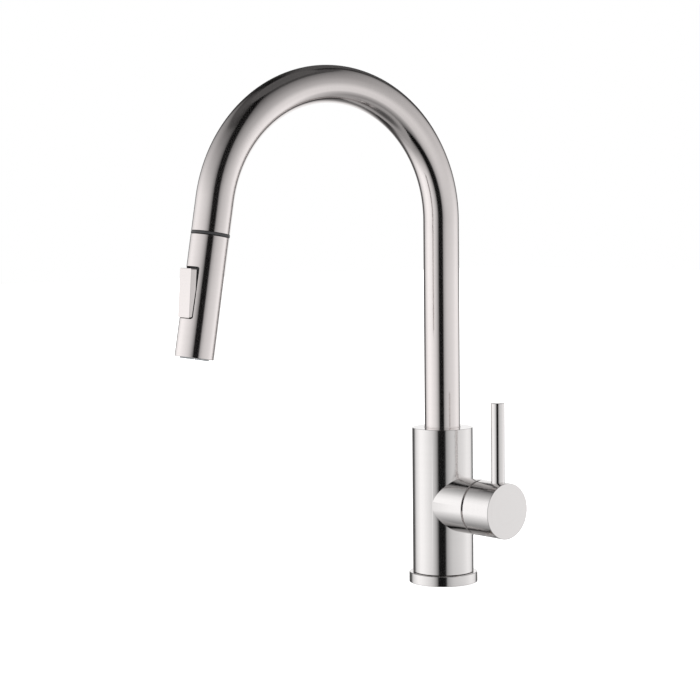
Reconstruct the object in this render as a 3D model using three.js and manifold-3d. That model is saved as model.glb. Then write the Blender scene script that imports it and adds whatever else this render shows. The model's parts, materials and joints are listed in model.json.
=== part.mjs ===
// Pull-down kitchen faucet with one side lever, as an assembly of separate solids.
//
// Frame: millimetres, +Z up. The origin is the centre of the deck hole on the deck's top face.
// +X is the axis of the side hub and its lever cap. The gooseneck swivels about Z, and stands
// SPOUT_HEADING degrees round from +X. The head group's +Z runs up the dock axis, and its +X
// looks outward, away from the column.

import * as THREE from "three";
import { mergeVertices } from "three/addons/utils/BufferGeometryUtils.js";
import Module from "manifold-3d";

const wasm = await Module();
wasm.setup();

// ---------------------------------------------------------------- driving dimensions (mm)
const GAP = 0.3; // between solids that touch on the real faucet

// Column and its flange
const COLUMN_R = 24;
const COLUMN_BORE_R = 21.5;
const COLUMN_TOP = 122;
const TOP_PLATE_UNDERSIDE = 116;
const COLUMN_FLOOR_TOP = 12.3;
const FLANGE_R = 27;
const FLANGE_H = 8;

// Side hub
const HUB_Z = 63;
const HUB_R = 21.5;
const HUB_BORE_R = 19.3;
const HUB_END = 42.4;

// Gooseneck
const SPOUT_HEADING = -96.44;
const TUBE_R = 14;
const TUBE_BORE_R = 12.5;
const RISER_TOP = 284.2;
const ARC_R = 102;
const ARC_SWEEP = THREE.MathUtils.degToRad(170.46);
const DOCK_RUN = 25.5; // straight tube after the arc, up to the middle of the dock ring
const DOCK_TILT = Math.PI - ARC_SWEEP;
const TUBE_FOOT = 115.6;

// Spray head, measured down from the middle of the dock ring
const HEAD_LEN = 89.6;
const HEAD_TOP_R = 14;
const HEAD_END_R = 14.3;
const HEAD_BORE_R = 12.6;
const CORE_R = 12.2;
const ROCKER_DROP = 43.7; // from the dock ring to the rocker's pivot
const ROCKER_PIVOT_X = 7.5;
const ROCKER_REST = THREE.MathUtils.degToRad(5.4);
const ROCKER_HALF_LEN = 17.7;
const ROCKER_FACE_X = 14.9;
const SLOT_HALF_LEN = 18.8;
const SLOT_HALF_W = 9.3;

// Cartridge and lever
const SEAT_X = 4.4;
const TILT_X = 21;
const CAP_START = 44.3;
const CAP_END = 71.1;
const CAP_CLEAR_R = 30.75; // everything in the cap stays outside this sphere about the tilt pin
const LEVER_X = 61.15;
const LEVER_R = 5.25;
const LEVER_TOP = 145.2;

// Below the deck
const DECK_T = 20;
const SHANK_R = 16;
const SHANK_BORE_R = 13.5;
const SHANK_END = -48;
const HOSE_R = 5.5;
const HOSE_SHANK_X = -6.8;
const HOSE_SIDE_X = -14.5;
const HOSE_SPLIT = 112;

// ---------------------------------------------------------------- finishes
const finish = (color, roughness, metalness) => new THREE.MeshStandardMaterial({ color, roughness, metalness });
const NICKEL = finish(0xcdc8c6, 0.3, 1);
const BRASS = finish(0xc9a860, 0.35, 1);
const STEEL = finish(0xb9bcc0, 0.35, 1);
const DARK_PLASTIC = finish(0x3a3a3d, 0.5, 0);
const WHITE_PLASTIC = finish(0xe6e4de, 0.45, 0);
const GREY_PLASTIC = finish(0x85888c, 0.45, 0);
const RUBBER = finish(0x1d1d1e, 0.8, 0);
const SILICONE = finish(0x9a9c9f, 0.6, 0);
const CERAMIC = finish(0xf2efe6, 0.2, 0);
const BRAID = finish(0x8d9094, 0.6, 0);
const INDICATOR = finish(0xb6392f, 0.3, 0);

// ---------------------------------------------------------------- shape helpers

/** Bare, welded geometry: positions only. */
function weld(geometry) {
  geometry.deleteAttribute("normal");
  geometry.deleteAttribute("uv");
  return mergeVertices(geometry, 1e-4);
}

function toSolid(geometry) {
  const bare = weld(geometry);
  const vertProperties = new Float32Array(bare.attributes.position.array);
  const triVerts = new Uint32Array(bare.index.array);
  return new wasm.Manifold(new wasm.Mesh({ numProp: 3, vertProperties, triVerts }));
}

function toGeometry(solid) {
  const { vertProperties, triVerts } = solid.getMesh();
  const geometry = new THREE.BufferGeometry();
  geometry.setAttribute("position", new THREE.BufferAttribute(new Float32Array(vertProperties), 3));
  geometry.setIndex(new THREE.BufferAttribute(new Uint32Array(triVerts), 1));
  return geometry;
}

/** Joins the first solid with the others. */
const join = (first, ...others) => others.reduce((sum, solid) => sum.add(solid), first);

/** Takes the others away from the first solid. */
const cut = (first, ...others) => others.reduce((rest, solid) => rest.subtract(solid), first);

/** A solid of revolution about Z. The outline's [radius, height] points are in either order. */
function turned(outline, segments = 32) {
  const points = outline.map(([r, z]) => new THREE.Vector2(r, z));
  const onAxis = points[0].x === 0 && points.at(-1).x === 0;
  if (THREE.ShapeUtils.area(points) < 0) points.reverse();
  if (!onAxis) points.push(points[0].clone());
  return toSolid(new THREE.LatheGeometry(points, segments).rotateX(Math.PI / 2));
}

const ring = (outer, inner, z0, z1, segments = 32) =>
  turned([[inner, z0], [outer, z0], [outer, z1], [inner, z1]], segments);

const rod = (r, z0, z1, segments = 24) => turned([[0, z0], [r, z0], [r, z1], [0, z1]], segments);

const block = (x0, x1, y0, y1, z0, z1) =>
  toSolid(new THREE.BoxGeometry(x1 - x0, y1 - y0, z1 - z0).translate((x0 + x1) / 2, (y0 + y1) / 2, (z0 + z1) / 2));

/** A torus about Z, centred at the given height. */
function oRing(r, section, z, segments = 32, sides = 8) {
  return toSolid(new THREE.TorusGeometry(r, section, sides, segments).translate(0, 0, z));
}

const shift = (solid, x, y, z) => solid.translate([x, y, z]);
const alongX = (solid) => solid.rotate([0, 90, 0]);
const alongY = (solid) => solid.rotate([-90, 0, 0]);

/** Turned about the hub's axis: outline heights become distances along +X. */
const onHub = (solid) => shift(alongX(solid), 0, 0, HUB_Z);

/** Solid with a flat outline in XZ, given as [x, z] points, and a thickness centred on Y. */
function plate(outline, thickness) {
  const shape = new THREE.Shape(outline.map(([x, z]) => new THREE.Vector2(x, z)));
  const geometry = new THREE.ExtrudeGeometry(shape, { depth: thickness, bevelEnabled: false });
  return toSolid(geometry.translate(0, 0, -thickness / 2).rotateX(Math.PI / 2));
}

/** Points of an arc, as [radius, height] pairs, from angle a0 to a1 in degrees. */
function arcPoints(cr, cz, r, a0, a1, steps) {
  return Array.from({ length: steps + 1 }, (_, i) => {
    const a = THREE.MathUtils.degToRad(a0 + ((a1 - a0) * i) / steps);
    return [cr + r * Math.cos(a), cz + r * Math.sin(a)];
  });
}

function swept(path, r, steps, sides) {
  const section = new THREE.Shape().absarc(0, 0, r, 0, 2 * Math.PI);
  const options = { extrudePath: path, steps, curveSegments: sides / 2, bevelEnabled: false };
  return toSolid(new THREE.ExtrudeGeometry(section, options));
}

/** The gooseneck's centre line: one step up the riser, equal steps round the arc, one down to the end. */
class GooseneckCurve extends THREE.Curve {
  constructor(foot, run, steps) {
    super();
    Object.assign(this, { foot, run, steps });
  }

  getPoint(t) {
    const step = t * this.steps;
    if (step < 1) return new THREE.Vector3(0, 0, this.foot + (RISER_TOP - this.foot) * step);
    const a = (Math.min(step - 1, this.steps - 2) / (this.steps - 2)) * ARC_SWEEP;
    const past = Math.max(0, step - this.steps + 1) * this.run;
    const x = ARC_R * (1 - Math.cos(a)) + past * Math.sin(DOCK_TILT);
    return new THREE.Vector3(x, 0, RISER_TOP + ARC_R * Math.sin(a) - past * Math.cos(DOCK_TILT));
  }

  getPointAt(u) {
    return this.getPoint(u);
  }

  getTangentAt(u) {
    return this.getTangent(u);
  }
}

// ---------------------------------------------------------------- assembly groups
const faucet = new THREE.Group();

const spout = new THREE.Group();
spout.rotation.z = THREE.MathUtils.degToRad(SPOUT_HEADING);
faucet.add(spout);

const head = new THREE.Group();
head.position.set(
  ARC_R * (1 - Math.cos(ARC_SWEEP)) + DOCK_RUN * Math.sin(DOCK_TILT),
  0,
  RISER_TOP + ARC_R * Math.sin(ARC_SWEEP) - DOCK_RUN * Math.cos(DOCK_TILT),
);
head.rotation.y = -DOCK_TILT;
spout.add(head);

const rocker = new THREE.Group();
rocker.position.set(ROCKER_PIVOT_X, 0, -ROCKER_DROP);
rocker.rotation.y = ROCKER_REST;
head.add(rocker);

function addPart(group, name, solid, material) {
  const mesh = new THREE.Mesh(toGeometry(solid), material);
  mesh.name = name;
  group.add(mesh);
}

// ---------------------------------------------------------------- column and flange
const SCREW_Z = 107;

/** Thin-walled column with a floor, a top plate and the open side hub. */
function bodyShell() {
  const bevel = 0.4;
  const column = turned([
    [0, FLANGE_H + GAP], [COLUMN_R, FLANGE_H + GAP], [COLUMN_R, COLUMN_TOP - bevel],
    [COLUMN_R - bevel, COLUMN_TOP], [0, COLUMN_TOP],
  ], 48);
  const hub = onHub(turned([[0, 0], [HUB_R, 0], [HUB_R, HUB_END - bevel], [HUB_R - bevel, HUB_END], [0, HUB_END]], 40));
  return cut(
    join(column, hub),
    rod(COLUMN_BORE_R, COLUMN_FLOOR_TOP, TOP_PLATE_UNDERSIDE, 32),
    onHub(rod(HUB_BORE_R, 0, HUB_END + 1, 32)),
    rod(SHANK_R + 0.8, 0, COLUMN_FLOOR_TOP + 1),
    rod(TUBE_R + 0.4, TOP_PLATE_UNDERSIDE - 1, COLUMN_TOP + 1, 32),
    shift(alongY(rod(2.5, COLUMN_BORE_R - 2, COLUMN_R + 1, 12)), 0, 0, SCREW_Z),
  );
}

/** Escutcheon ring with a rounded top edge and a groove for the gasket underneath. */
function baseFlange() {
  return turned([
    [SHANK_R + 0.9, 1.8], [24, 1.8], [24, 0], [FLANGE_R, 0],
    ...arcPoints(FLANGE_R - 1, FLANGE_H - 1, 1, 0, 90, 2), [SHANK_R + 0.9, FLANGE_H],
  ], 48);
}

addPart(faucet, "body_shell", bodyShell(), NICKEL);
addPart(faucet, "base_flange", baseFlange(), NICKEL);
addPart(faucet, "base_gasket", ring(23.6, SHANK_R + 1.2, 0, 1.5, 28), RUBBER);

// ---------------------------------------------------------------- below the deck

/** Hollow threaded shank. Its collar lies on the column's floor and draws the column down. */
function mountingShank() {
  const collarBottom = COLUMN_FLOOR_TOP + GAP;
  return turned([
    [SHANK_BORE_R, SHANK_END], [SHANK_R - 0.8, SHANK_END], [SHANK_R, SHANK_END + 1], [SHANK_R, collarBottom],
    [20.8, collarBottom], [20.8, collarBottom + 4], [SHANK_BORE_R, collarBottom + 4],
  ], 24);
}

const CLAMP_SCREW_R = 20.9;
const NUT_TOP = -DECK_T - 5.6;

/** Hexagon nut with a round flange. Two clamping screws run through the flange. */
function mountingNut() {
  const flange = rod(25, NUT_TOP - 5, NUT_TOP, 28);
  const hexagon = rod(22.5, NUT_TOP - 14, NUT_TOP - 5, 6);
  const sides = [-1, 1];
  return cut(
    join(flange, hexagon),
    rod(SHANK_R + GAP, NUT_TOP - 20, NUT_TOP + 1, 24),
    ...sides.map((side) => shift(rod(2.4, NUT_TOP - 6, NUT_TOP + 1, 12), side * CLAMP_SCREW_R, 0, 0)),
    ...sides.map((side) => shift(rod(4.1, NUT_TOP - 15, NUT_TOP - 5, 14), side * CLAMP_SCREW_R, 0, 0)),
  );
}

/** Pan-headed screw with a cross slot, pointing up. */
function clampScrew() {
  const tip = NUT_TOP + 0.2;
  const body = turned([
    [0, tip - 19], [3.4, tip - 19], [3.6, tip - 18.4], [3.6, tip - 16], [2, tip - 16], [2, tip - 0.6],
    [1.4, tip], [0, tip],
  ], 14);
  return cut(
    body,
    block(-2.4, 2.4, -0.4, 0.4, tip - 20, tip - 17.6),
    block(-0.4, 0.4, -2.4, 2.4, tip - 20, tip - 17.6),
  );
}

addPart(faucet, "mounting_shank", mountingShank(), BRASS);
addPart(faucet, "deck_rubber_washer", ring(26, SHANK_R + 0.4, -DECK_T - 3, -DECK_T, 28), RUBBER);
addPart(faucet, "deck_steel_washer", ring(25, SHANK_R + 0.4, -DECK_T - 5, -DECK_T - 3 - GAP, 28), STEEL);
addPart(faucet, "mounting_nut", mountingNut(), BRASS);
for (const [name, side] of [["nut_clamp_screw_1", -1], ["nut_clamp_screw_2", 1]]) {
  addPart(faucet, name, shift(clampScrew(), side * CLAMP_SCREW_R, 0, 0), STEEL);
}

// ---------------------------------------------------------------- waterways in the column
const PORTS = [
  { name: "cold", y: -8.5, z: -5 },
  { name: "outlet", y: 0, z: 8 },
  { name: "hot", y: 8.5, z: -5 },
];
const PORT_R = 2.3;
const RISE_X = -0.8;
const BLOCK_FOOT = 44;
const NIPPLE_R = 3.7;
const NIPPLE_END = 30;
const OUTLET_TUBE_END = -60;

/** Brass block behind the cartridge: each port turns down to a nipple socket in its foot. */
function valveBlock() {
  const drilled = PORTS.flatMap(({ y, z }) => [
    shift(alongX(rod(PORT_R, RISE_X, SEAT_X + 1, 12)), 0, y, HUB_Z + z),
    shift(rod(PORT_R, BLOCK_FOOT - 1, HUB_Z + z + 0.4, 12), RISE_X, y, 0),
    shift(rod(NIPPLE_R + GAP, BLOCK_FOOT - 1, BLOCK_FOOT + 5, 16), RISE_X, y, 0),
  ]);
  return cut(join(onHub(rod(16.8, -7, SEAT_X, 24)), block(-7, SEAT_X, -13.5, 13.5, BLOCK_FOOT, 55)), ...drilled);
}

/** Short pipe with a bead at its lower end. */
function nipple(y) {
  return shift(turned([
    [PORT_R, NIPPLE_END], [NIPPLE_R, NIPPLE_END], [NIPPLE_R, NIPPLE_END + 5], [NIPPLE_R - 0.5, NIPPLE_END + 6],
    [NIPPLE_R - 0.5, 38], [NIPPLE_R, 39], [NIPPLE_R, BLOCK_FOOT + 4.6], [PORT_R, BLOCK_FOOT + 4.6],
  ], 12), RISE_X, y, 0);
}

/** Mixed-water pipe that leaves through the shank. */
function outletTube() {
  const path = new THREE.CatmullRomCurve3([
    [RISE_X, 0, NIPPLE_END - 0.6], [RISE_X, 0, 28], [1.6, 0, 22.5], [7.2, 0, 12], [8.4, 0, 4], [8.5, 0, -6],
    [8.5, 0, OUTLET_TUBE_END],
  ].map((p) => new THREE.Vector3(...p)), false, "centripetal");
  return swept(path, 3.3, 18, 8);
}

addPart(faucet, "valve_block", valveBlock(), BRASS);
for (const { name, y } of PORTS) addPart(faucet, `${name}_nipple`, nipple(y), BRASS);
addPart(faucet, "outlet_tube", outletTube(), STEEL);

/** Pull-out hose from its coupling below the shank, past the valve block, to the swivel axis. */
function lowerHose() {
  const path = new THREE.CatmullRomCurve3([
    [HOSE_SHANK_X, -52], [HOSE_SHANK_X, -20], [HOSE_SHANK_X, 4], [HOSE_SHANK_X - 0.4, 17], [-10.8, 30],
    [HOSE_SIDE_X, 43], [HOSE_SIDE_X, 58], [HOSE_SIDE_X, 73.5], [-11.9, 84.5], [-5.4, 94.5], [-1.1, 102],
    [0, 108], [0, HOSE_SPLIT],
  ].map(([x, z]) => new THREE.Vector3(x, 0, z)), false, "centripetal");
  return swept(path, HOSE_R, 30, 8);
}

/** Hexagon coupling on the hose's lower end. */
function hoseCoupling() {
  const body = join(rod(7.6, -60, -50.5, 6), rod(6.2, -69, -60, 18));
  return shift(cut(body, rod(HOSE_R + GAP, -52.4, -50, 16), rod(3, -70, -52, 12)), HOSE_SHANK_X, 0, 0);
}

addPart(faucet, "hose_lower", lowerHose(), BRAID);
addPart(faucet, "hose_coupling", hoseCoupling(), BRASS);

// ---------------------------------------------------------------- swivel foot of the gooseneck
const SOCKET_BORE_R = 17.45;
const FOOT_R = 17;
const FOOT_BOTTOM = 92;
const FOOT_BORE_R = 9.5;
const SLIP_RINGS = { slip_ring_lower: 93.2, slip_ring_upper: 110.4 };
const O_RINGS = { swivel_o_ring_lower: 99, swivel_o_ring_upper: 102.4 };
const SLIP_H = 3;

/** Brass sleeve fixed in the column's top, drilled for the retaining screw. */
function spoutSocket() {
  return cut(
    ring(COLUMN_BORE_R - GAP, SOCKET_BORE_R, 90, TOP_PLATE_UNDERSIDE - GAP, 28),
    shift(alongY(rod(2.5, SOCKET_BORE_R - 2, COLUMN_BORE_R + 1, 12)), 0, 0, SCREW_Z),
  );
}

/** Foot that turns in the socket: a neck in the tube, a shoulder under the top plate, and grooves. */
function spoutFoot() {
  const groove = (z0, z1, r) => [[FOOT_R, z0], [r, z0], [r, z1], [FOOT_R, z1]];
  return turned([
    [14.2, FOOT_BOTTOM], [FOOT_R, FOOT_BOTTOM],
    ...groove(SLIP_RINGS.slip_ring_lower - GAP, SLIP_RINGS.slip_ring_lower + SLIP_H + GAP, 15.9),
    ...Object.values(O_RINGS).flatMap((z) => groove(z - 1.25, z + 1.25, 14.95)),
    ...groove(105, 109.4, 15.6),
    ...groove(SLIP_RINGS.slip_ring_upper - GAP, SLIP_RINGS.slip_ring_upper + SLIP_H + GAP, 15.9),
    [FOOT_R, TUBE_FOOT - 0.4], [TUBE_BORE_R - GAP, TUBE_FOOT - 0.4], [TUBE_BORE_R - GAP, 134],
    [FOOT_BORE_R + 1, 134], [FOOT_BORE_R, 133], [FOOT_BORE_R, 103],
  ], 24);
}

/** Headless screw with a hexagon socket, pointing at the swivel axis from behind. */
function retainingScrew() {
  const screw = turned([[0, 16.3], [1.2, 16.3], [2.1, 17.2], [2.1, 23.2], [0, 23.2]], 12);
  return shift(alongY(cut(screw, rod(1.15, 20.6, 24, 6))), 0, 0, SCREW_Z);
}

addPart(faucet, "spout_socket", spoutSocket(), BRASS);
addPart(faucet, "spout_retaining_screw", retainingScrew(), STEEL);
addPart(spout, "spout_foot", spoutFoot(), BRASS);
for (const [name, z] of Object.entries(O_RINGS)) addPart(spout, name, oRing(16.2, 0.93, z, 24, 6), RUBBER);
for (const [name, z] of Object.entries(SLIP_RINGS)) {
  addPart(spout, name, ring(FOOT_R + 0.15, 16.2, z, z + SLIP_H, 24), WHITE_PLASTIC);
}

// ---------------------------------------------------------------- gooseneck, its hose and the dock
const ARC_STEPS = 26;
const COLLAR_HALF_T = 0.9;

function spoutTube() {
  const run = DOCK_RUN - COLLAR_HALF_T - GAP;
  const outside = swept(new GooseneckCurve(TUBE_FOOT, run, ARC_STEPS), TUBE_R, ARC_STEPS, 32);
  return cut(outside, swept(new GooseneckCurve(TUBE_FOOT - 1, run + 1, ARC_STEPS), TUBE_BORE_R, ARC_STEPS, 16));
}

/** The hose inside the gooseneck, from the swivel axis into the spray head's ferrule. */
const upperHose = () => swept(new GooseneckCurve(HOSE_SPLIT + GAP, DOCK_RUN - 2.4, ARC_STEPS), HOSE_R, ARC_STEPS, 8);

/** Dark ring between tube and head, with a sleeve inside the tube that guides the head home. */
function dockCollar() {
  return turned([
    [10.1, -COLLAR_HALF_T], [TUBE_R + 0.05, -COLLAR_HALF_T], [TUBE_R + 0.05, COLLAR_HALF_T],
    [TUBE_BORE_R - 0.4, COLLAR_HALF_T], [TUBE_BORE_R - 0.4, 20], [10.8, 20], [10.1, 18.5],
  ], 28);
}

addPart(spout, "spout_tube", spoutTube(), NICKEL);
addPart(spout, "hose_upper", upperHose(), BRAID);
addPart(head, "dock_collar", dockCollar(), DARK_PLASTIC);

// ---------------------------------------------------------------- hose end: slides out with the head
const STEM_R = 4.2;

/** Crimped ferrule round the hose's end, with the hollow stem that the head turns on. */
function hoseFerrule() {
  return turned([
    [2.4, -19], [STEM_R, -19], [STEM_R, -18.2], [3.5, -18.2], [3.5, -16.2], [STEM_R, -16.2], [STEM_R, -15.2],
    [5.6, -15.2], [5.6, -12.2], [STEM_R, -12.2], [STEM_R, -2.4], [7.4, -2.4], [7.4, 12],
    [HOSE_R + GAP, 12], [HOSE_R + GAP, 1.6], [2.4, 1.6],
  ], 16);
}

addPart(head, "hose_ferrule", hoseFerrule(), BRASS);
addPart(head, "stem_seal", oRing(4.6, 0.75, -17.2, 16, 6), RUBBER);

// ---------------------------------------------------------------- spray head
const ROCKER_TOP = -ROCKER_DROP + SLOT_HALF_LEN;
const ROCKER_BOTTOM = -ROCKER_DROP - SLOT_HALF_LEN;
const SPOOL_BORE_R = 3.2;

/** Rounded rectangular cutter for the rocker's opening, looking along +X. */
function rockerOpening(halfW, top, bottom, x0, corner) {
  const shape = new THREE.Shape();
  shape.moveTo(-halfW + corner, bottom);
  shape.lineTo(halfW - corner, bottom);
  shape.absarc(halfW - corner, bottom + corner, corner, -Math.PI / 2, 0);
  shape.lineTo(halfW, top - corner);
  shape.absarc(halfW - corner, top - corner, corner, 0, Math.PI / 2);
  shape.lineTo(-halfW + corner, top);
  shape.absarc(-halfW + corner, top - corner, corner, Math.PI / 2, Math.PI);
  shape.lineTo(-halfW, bottom + corner);
  shape.absarc(-halfW + corner, bottom + corner, corner, Math.PI, 1.5 * Math.PI);
  const geometry = new THREE.ExtrudeGeometry(shape, { depth: 20 - x0, curveSegments: 3, bevelEnabled: false });
  geometry.rotateX(Math.PI / 2).rotateZ(Math.PI / 2);
  return toSolid(geometry.translate(x0, 0, 0));
}

/** Outer shell, very slightly wider at its lower end. */
function sprayShell() {
  const wall = [
    [10.2, -1.3], [HEAD_TOP_R - 0.3, -1.3], [HEAD_TOP_R, -1.6], [HEAD_TOP_R, -20],
    [HEAD_END_R, -70], [HEAD_END_R, -HEAD_LEN + 0.4], [HEAD_END_R - 0.4, -HEAD_LEN],
    [HEAD_BORE_R + 0.1, -HEAD_LEN], [HEAD_BORE_R, -HEAD_LEN + 2], [HEAD_BORE_R, -2.7], [10.2, -2.7],
  ];
  return cut(turned(wall, 36), rockerOpening(SLOT_HALF_W, ROCKER_TOP, ROCKER_BOTTOM, 4, 1.5));
}

/** Moulded waterway: nose that enters the dock, hose inlet, spool bore and the rocker's pocket. */
function sprayCore() {
  const body = turned([
    [0, -80], [CORE_R, -80], [CORE_R, -79], [11.1, -78.6], [11.1, -76.4], [CORE_R, -76], [CORE_R, -3.2],
    [9.7, -3.2], [9.7, 11.5], [9.2, 13], [0, 13],
  ], 24);
  return cut(
    body,
    rod(7.8, -11.9, 14, 16),
    rod(5.9, -19.8, -11, 16),
    rod(4.9, -33, -19, 16),
    rod(SPOOL_BORE_R, -61, -32, 12),
    rod(8, -81, -60, 16),
    rockerOpening(SLOT_HALF_W - 0.2, ROCKER_TOP + 0.1, ROCKER_BOTTOM - 0.1, 7.9, 1),
    block(1, 9, -4.4, 4.4, -ROCKER_DROP - 4.4, -ROCKER_DROP + 5.2),
    shift(alongY(rod(1.35, -9, 9, 10)), ROCKER_PIVOT_X, 0, -ROCKER_DROP),
  );
}

/** Ring screwed into the core above the stem's flange, so that the head turns but stays on. */
const swivelNut = () => ring(7.5, STEM_R + 0.4, -11.6, -3.2, 24);

/** Spool that sends the water to the aerator or to the nozzles. The rocker's finger sits in its groove. */
function diverterSpool() {
  const spool = turned([
    [0, -17.2], [2.8, -17.2], [2.8, -11.2], [2.2, -10.6], [2.2, -7.8], [2.8, -7.2], [2.8, -1.6], [1.5, -1.6],
    [1.5, 2.9], [2.8, 2.9], [2.8, 6.2], [0, 6.2],
  ], 14);
  return shift(spool, 0, 0, -ROCKER_DROP);
}

/** Check valve: a short body with a cone on its outlet side. */
const checkValve = () => turned([
  [0, -32.4], [1.6, -32.4], [2.6, -29.5], [4.5, -29.5], [4.5, -22.4], [3.2, -22.4], [3.2, -27.6], [0, -27.6],
], 18);

/** Slightly domed gauze disc in the inlet. */
const inletScreen = () => turned([[0, -21.7], [4.4, -21.7], [4.4, -20.9], [2.4, -20.4], [0, -20.2]], 18);

/** Lower ring that holds the nozzle insert in the shell. */
function sprayFace() {
  return turned([
    [6.3, -88.9], [6.3, -80.4], [12.2, -80.4], [12.2, -89.1], [11.5, -89.3], [11.5, -86.4], [6.8, -86.4], [6.8, -88.9],
  ], 24);
}

const NOZZLES = 20;

/** Soft ring with one round of nozzles that stand below the head's end. */
function nozzleRing() {
  const nozzle = turned([[0, -90.6], [0.55, -90.6], [0.85, -87.5], [0, -87.5]], 6);
  const turns = Array.from({ length: NOZZLES }, (_, i) => shift(nozzle, 9.9, 0, 0).rotate([0, 0, (360 * i) / NOZZLES]));
  return join(ring(11.2, 7.1, -89.3, -86.7, 24), ...turns);
}

/** Aerator cartridge: a cup with a stepped outlet. */
const aerator = () => turned([
  [0, -88.2], [4.6, -88.2], [4.6, -89.2], [5.9, -89.2], [5.9, -81], [4.4, -81], [4.4, -84], [0, -84],
], 16);

addPart(head, "spray_shell", sprayShell(), NICKEL);
addPart(head, "spray_core", sprayCore(), GREY_PLASTIC);
addPart(head, "core_seal", oRing(11.75, 0.6, -77.5, 24, 6), RUBBER);
addPart(head, "swivel_nut", swivelNut(), BRASS);
addPart(head, "check_valve", checkValve(), WHITE_PLASTIC);
addPart(head, "inlet_screen", inletScreen(), STEEL);
addPart(head, "diverter_spool", diverterSpool(), WHITE_PLASTIC);
addPart(head, "spray_face", sprayFace(), DARK_PLASTIC);
addPart(head, "nozzle_ring", nozzleRing(), SILICONE);
addPart(head, "aerator", aerator(), WHITE_PLASTIC);

/** Rocker button in its middle position: a flat face, flared sides and a finger below the pivot. */
function rockerButton() {
  const face = ROCKER_FACE_X - ROCKER_PIVOT_X;
  const base = 3.2;
  const halfFace = 8.2;
  const halfBase = 8.5;
  const section = new THREE.Shape([
    [-halfBase, base], [halfBase, base], [halfFace + 0.1, face - 0.4], [halfFace - 0.3, face],
    [-halfFace + 0.3, face], [-halfFace - 0.1, face - 0.4],
  ].map(([y, x]) => new THREE.Vector2(y, x)));
  const length = 2 * ROCKER_HALF_LEN;
  const geometry = new THREE.ExtrudeGeometry(section, { depth: length, bevelEnabled: false });
  geometry.translate(0, 0, -ROCKER_HALF_LEN).rotateZ(-Math.PI / 2);
  const lug = plate([[-2.2, -2.4], [2.2, -3], [base + 0.5, -3.4], [base + 0.5, 3.4], [2.2, 3], [-2.2, 2.4]], 8);
  const finger = block(-5.1, -2, -0.9, 0.9, -1.1, 1.1);
  return cut(join(toSolid(geometry), lug, finger), alongY(rod(1.35, -5, 5, 10)));
}

addPart(rocker, "rocker_button", rockerButton(), NICKEL);
addPart(head, "rocker_pin", shift(alongY(rod(1, -8.6, 8.6, 10)), ROCKER_PIVOT_X, 0, -ROCKER_DROP), STEEL);

// ---------------------------------------------------------------- cartridge
const CART_R = 17.3;
const BASE_BOTTOM = SEAT_X + GAP;
const BASE_TOP = 8.7;
const HOUSING_TOP = 36;
const HOUSING_BORE_R = 14;
const PORT_SEAL_R = 3.9;
const BALL_ARM = 4.3; // from the tilt pin to the ball that moves the disc
const BALL_R = 2.2;

const atPort = (solid, { y, z }) => shift(alongX(solid), 0, y, HUB_Z + z);

function cartridgeBase() {
  return cut(
    onHub(rod(CART_R, BASE_BOTTOM, BASE_TOP, 24)),
    ...PORTS.map((port) => atPort(rod(PORT_R, BASE_BOTTOM - 1, BASE_TOP + 1, 12), port)),
    ...PORTS.map((port) => atPort(rod(PORT_SEAL_R + 0.4, BASE_BOTTOM - 1, BASE_BOTTOM + 2, 16), port)),
  );
}

const fixedDisc = () => cut(
  onHub(rod(13.4, BASE_TOP + GAP, BASE_TOP + 2.8, 20)),
  ...PORTS.map((port) => atPort(rod(PORT_R, BASE_TOP, BASE_TOP + 4, 12), port)),
);

/** Sliding disc with the mixing recess in its lower face. */
const movingDisc = () => cut(
  onHub(rod(11, BASE_TOP + 3.1, BASE_TOP + 5.5, 26)),
  onHub(rod(7.6, BASE_TOP + 3, BASE_TOP + 4.4, 20)),
);

/** Carrier on the sliding disc, with a slot for the lever's ball end. */
const discCarrier = () => cut(
  onHub(rod(10.6, BASE_TOP + 5.8, TILT_X - BALL_ARM, 26)),
  shift(block(TILT_X - 8, TILT_X, -BALL_R - GAP, BALL_R + GAP, -BALL_R - GAP, BALL_R + GAP), 0, 0, HUB_Z),
);

function cartridgeHousing() {
  return onHub(turned([
    [HOUSING_BORE_R, BASE_TOP + GAP], [CART_R, BASE_TOP + GAP], [CART_R, HOUSING_TOP - 1], [CART_R - 1, HOUSING_TOP],
    [11, HOUSING_TOP], [11, HOUSING_TOP - 2], [HOUSING_BORE_R, HOUSING_TOP - 2],
  ], 24));
}

/** Sleeve that turns with the lever. The tilt pin crosses it. */
const cartridgeRotor = () => cut(
  onHub(ring(HOUSING_BORE_R - 0.4, 10.9, TILT_X - 3.2, HOUSING_TOP - 2.4, 24)),
  shift(alongY(rod(1.8, -15, 15, 12)), TILT_X, 0, HUB_Z),
);

addPart(faucet, "cartridge_base", cartridgeBase(), WHITE_PLASTIC);
for (const port of PORTS) {
  const seal = atPort(ring(PORT_SEAL_R, PORT_R + 0.4, BASE_BOTTOM + 0.1, BASE_BOTTOM + 1.6, 16), port);
  addPart(faucet, `${port.name}_port_seal`, seal, RUBBER);
}
addPart(faucet, "fixed_ceramic_disc", fixedDisc(), CERAMIC);
addPart(faucet, "cartridge_housing", cartridgeHousing(), WHITE_PLASTIC);
addPart(faucet, "bonnet_nut", onHub(ring(HUB_BORE_R - GAP, 12.2, HOUSING_TOP + 0.4, 40.4, 24)), BRASS);
addPart(faucet, "moving_ceramic_disc", movingDisc(), CERAMIC);
addPart(faucet, "disc_carrier", discCarrier(), DARK_PLASTIC);
addPart(faucet, "cartridge_rotor", cartridgeRotor(), GREY_PLASTIC);
addPart(faucet, "tilt_pin", shift(alongY(rod(1.45, -13.2, 13.2, 12)), TILT_X, 0, HUB_Z), STEEL);

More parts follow.
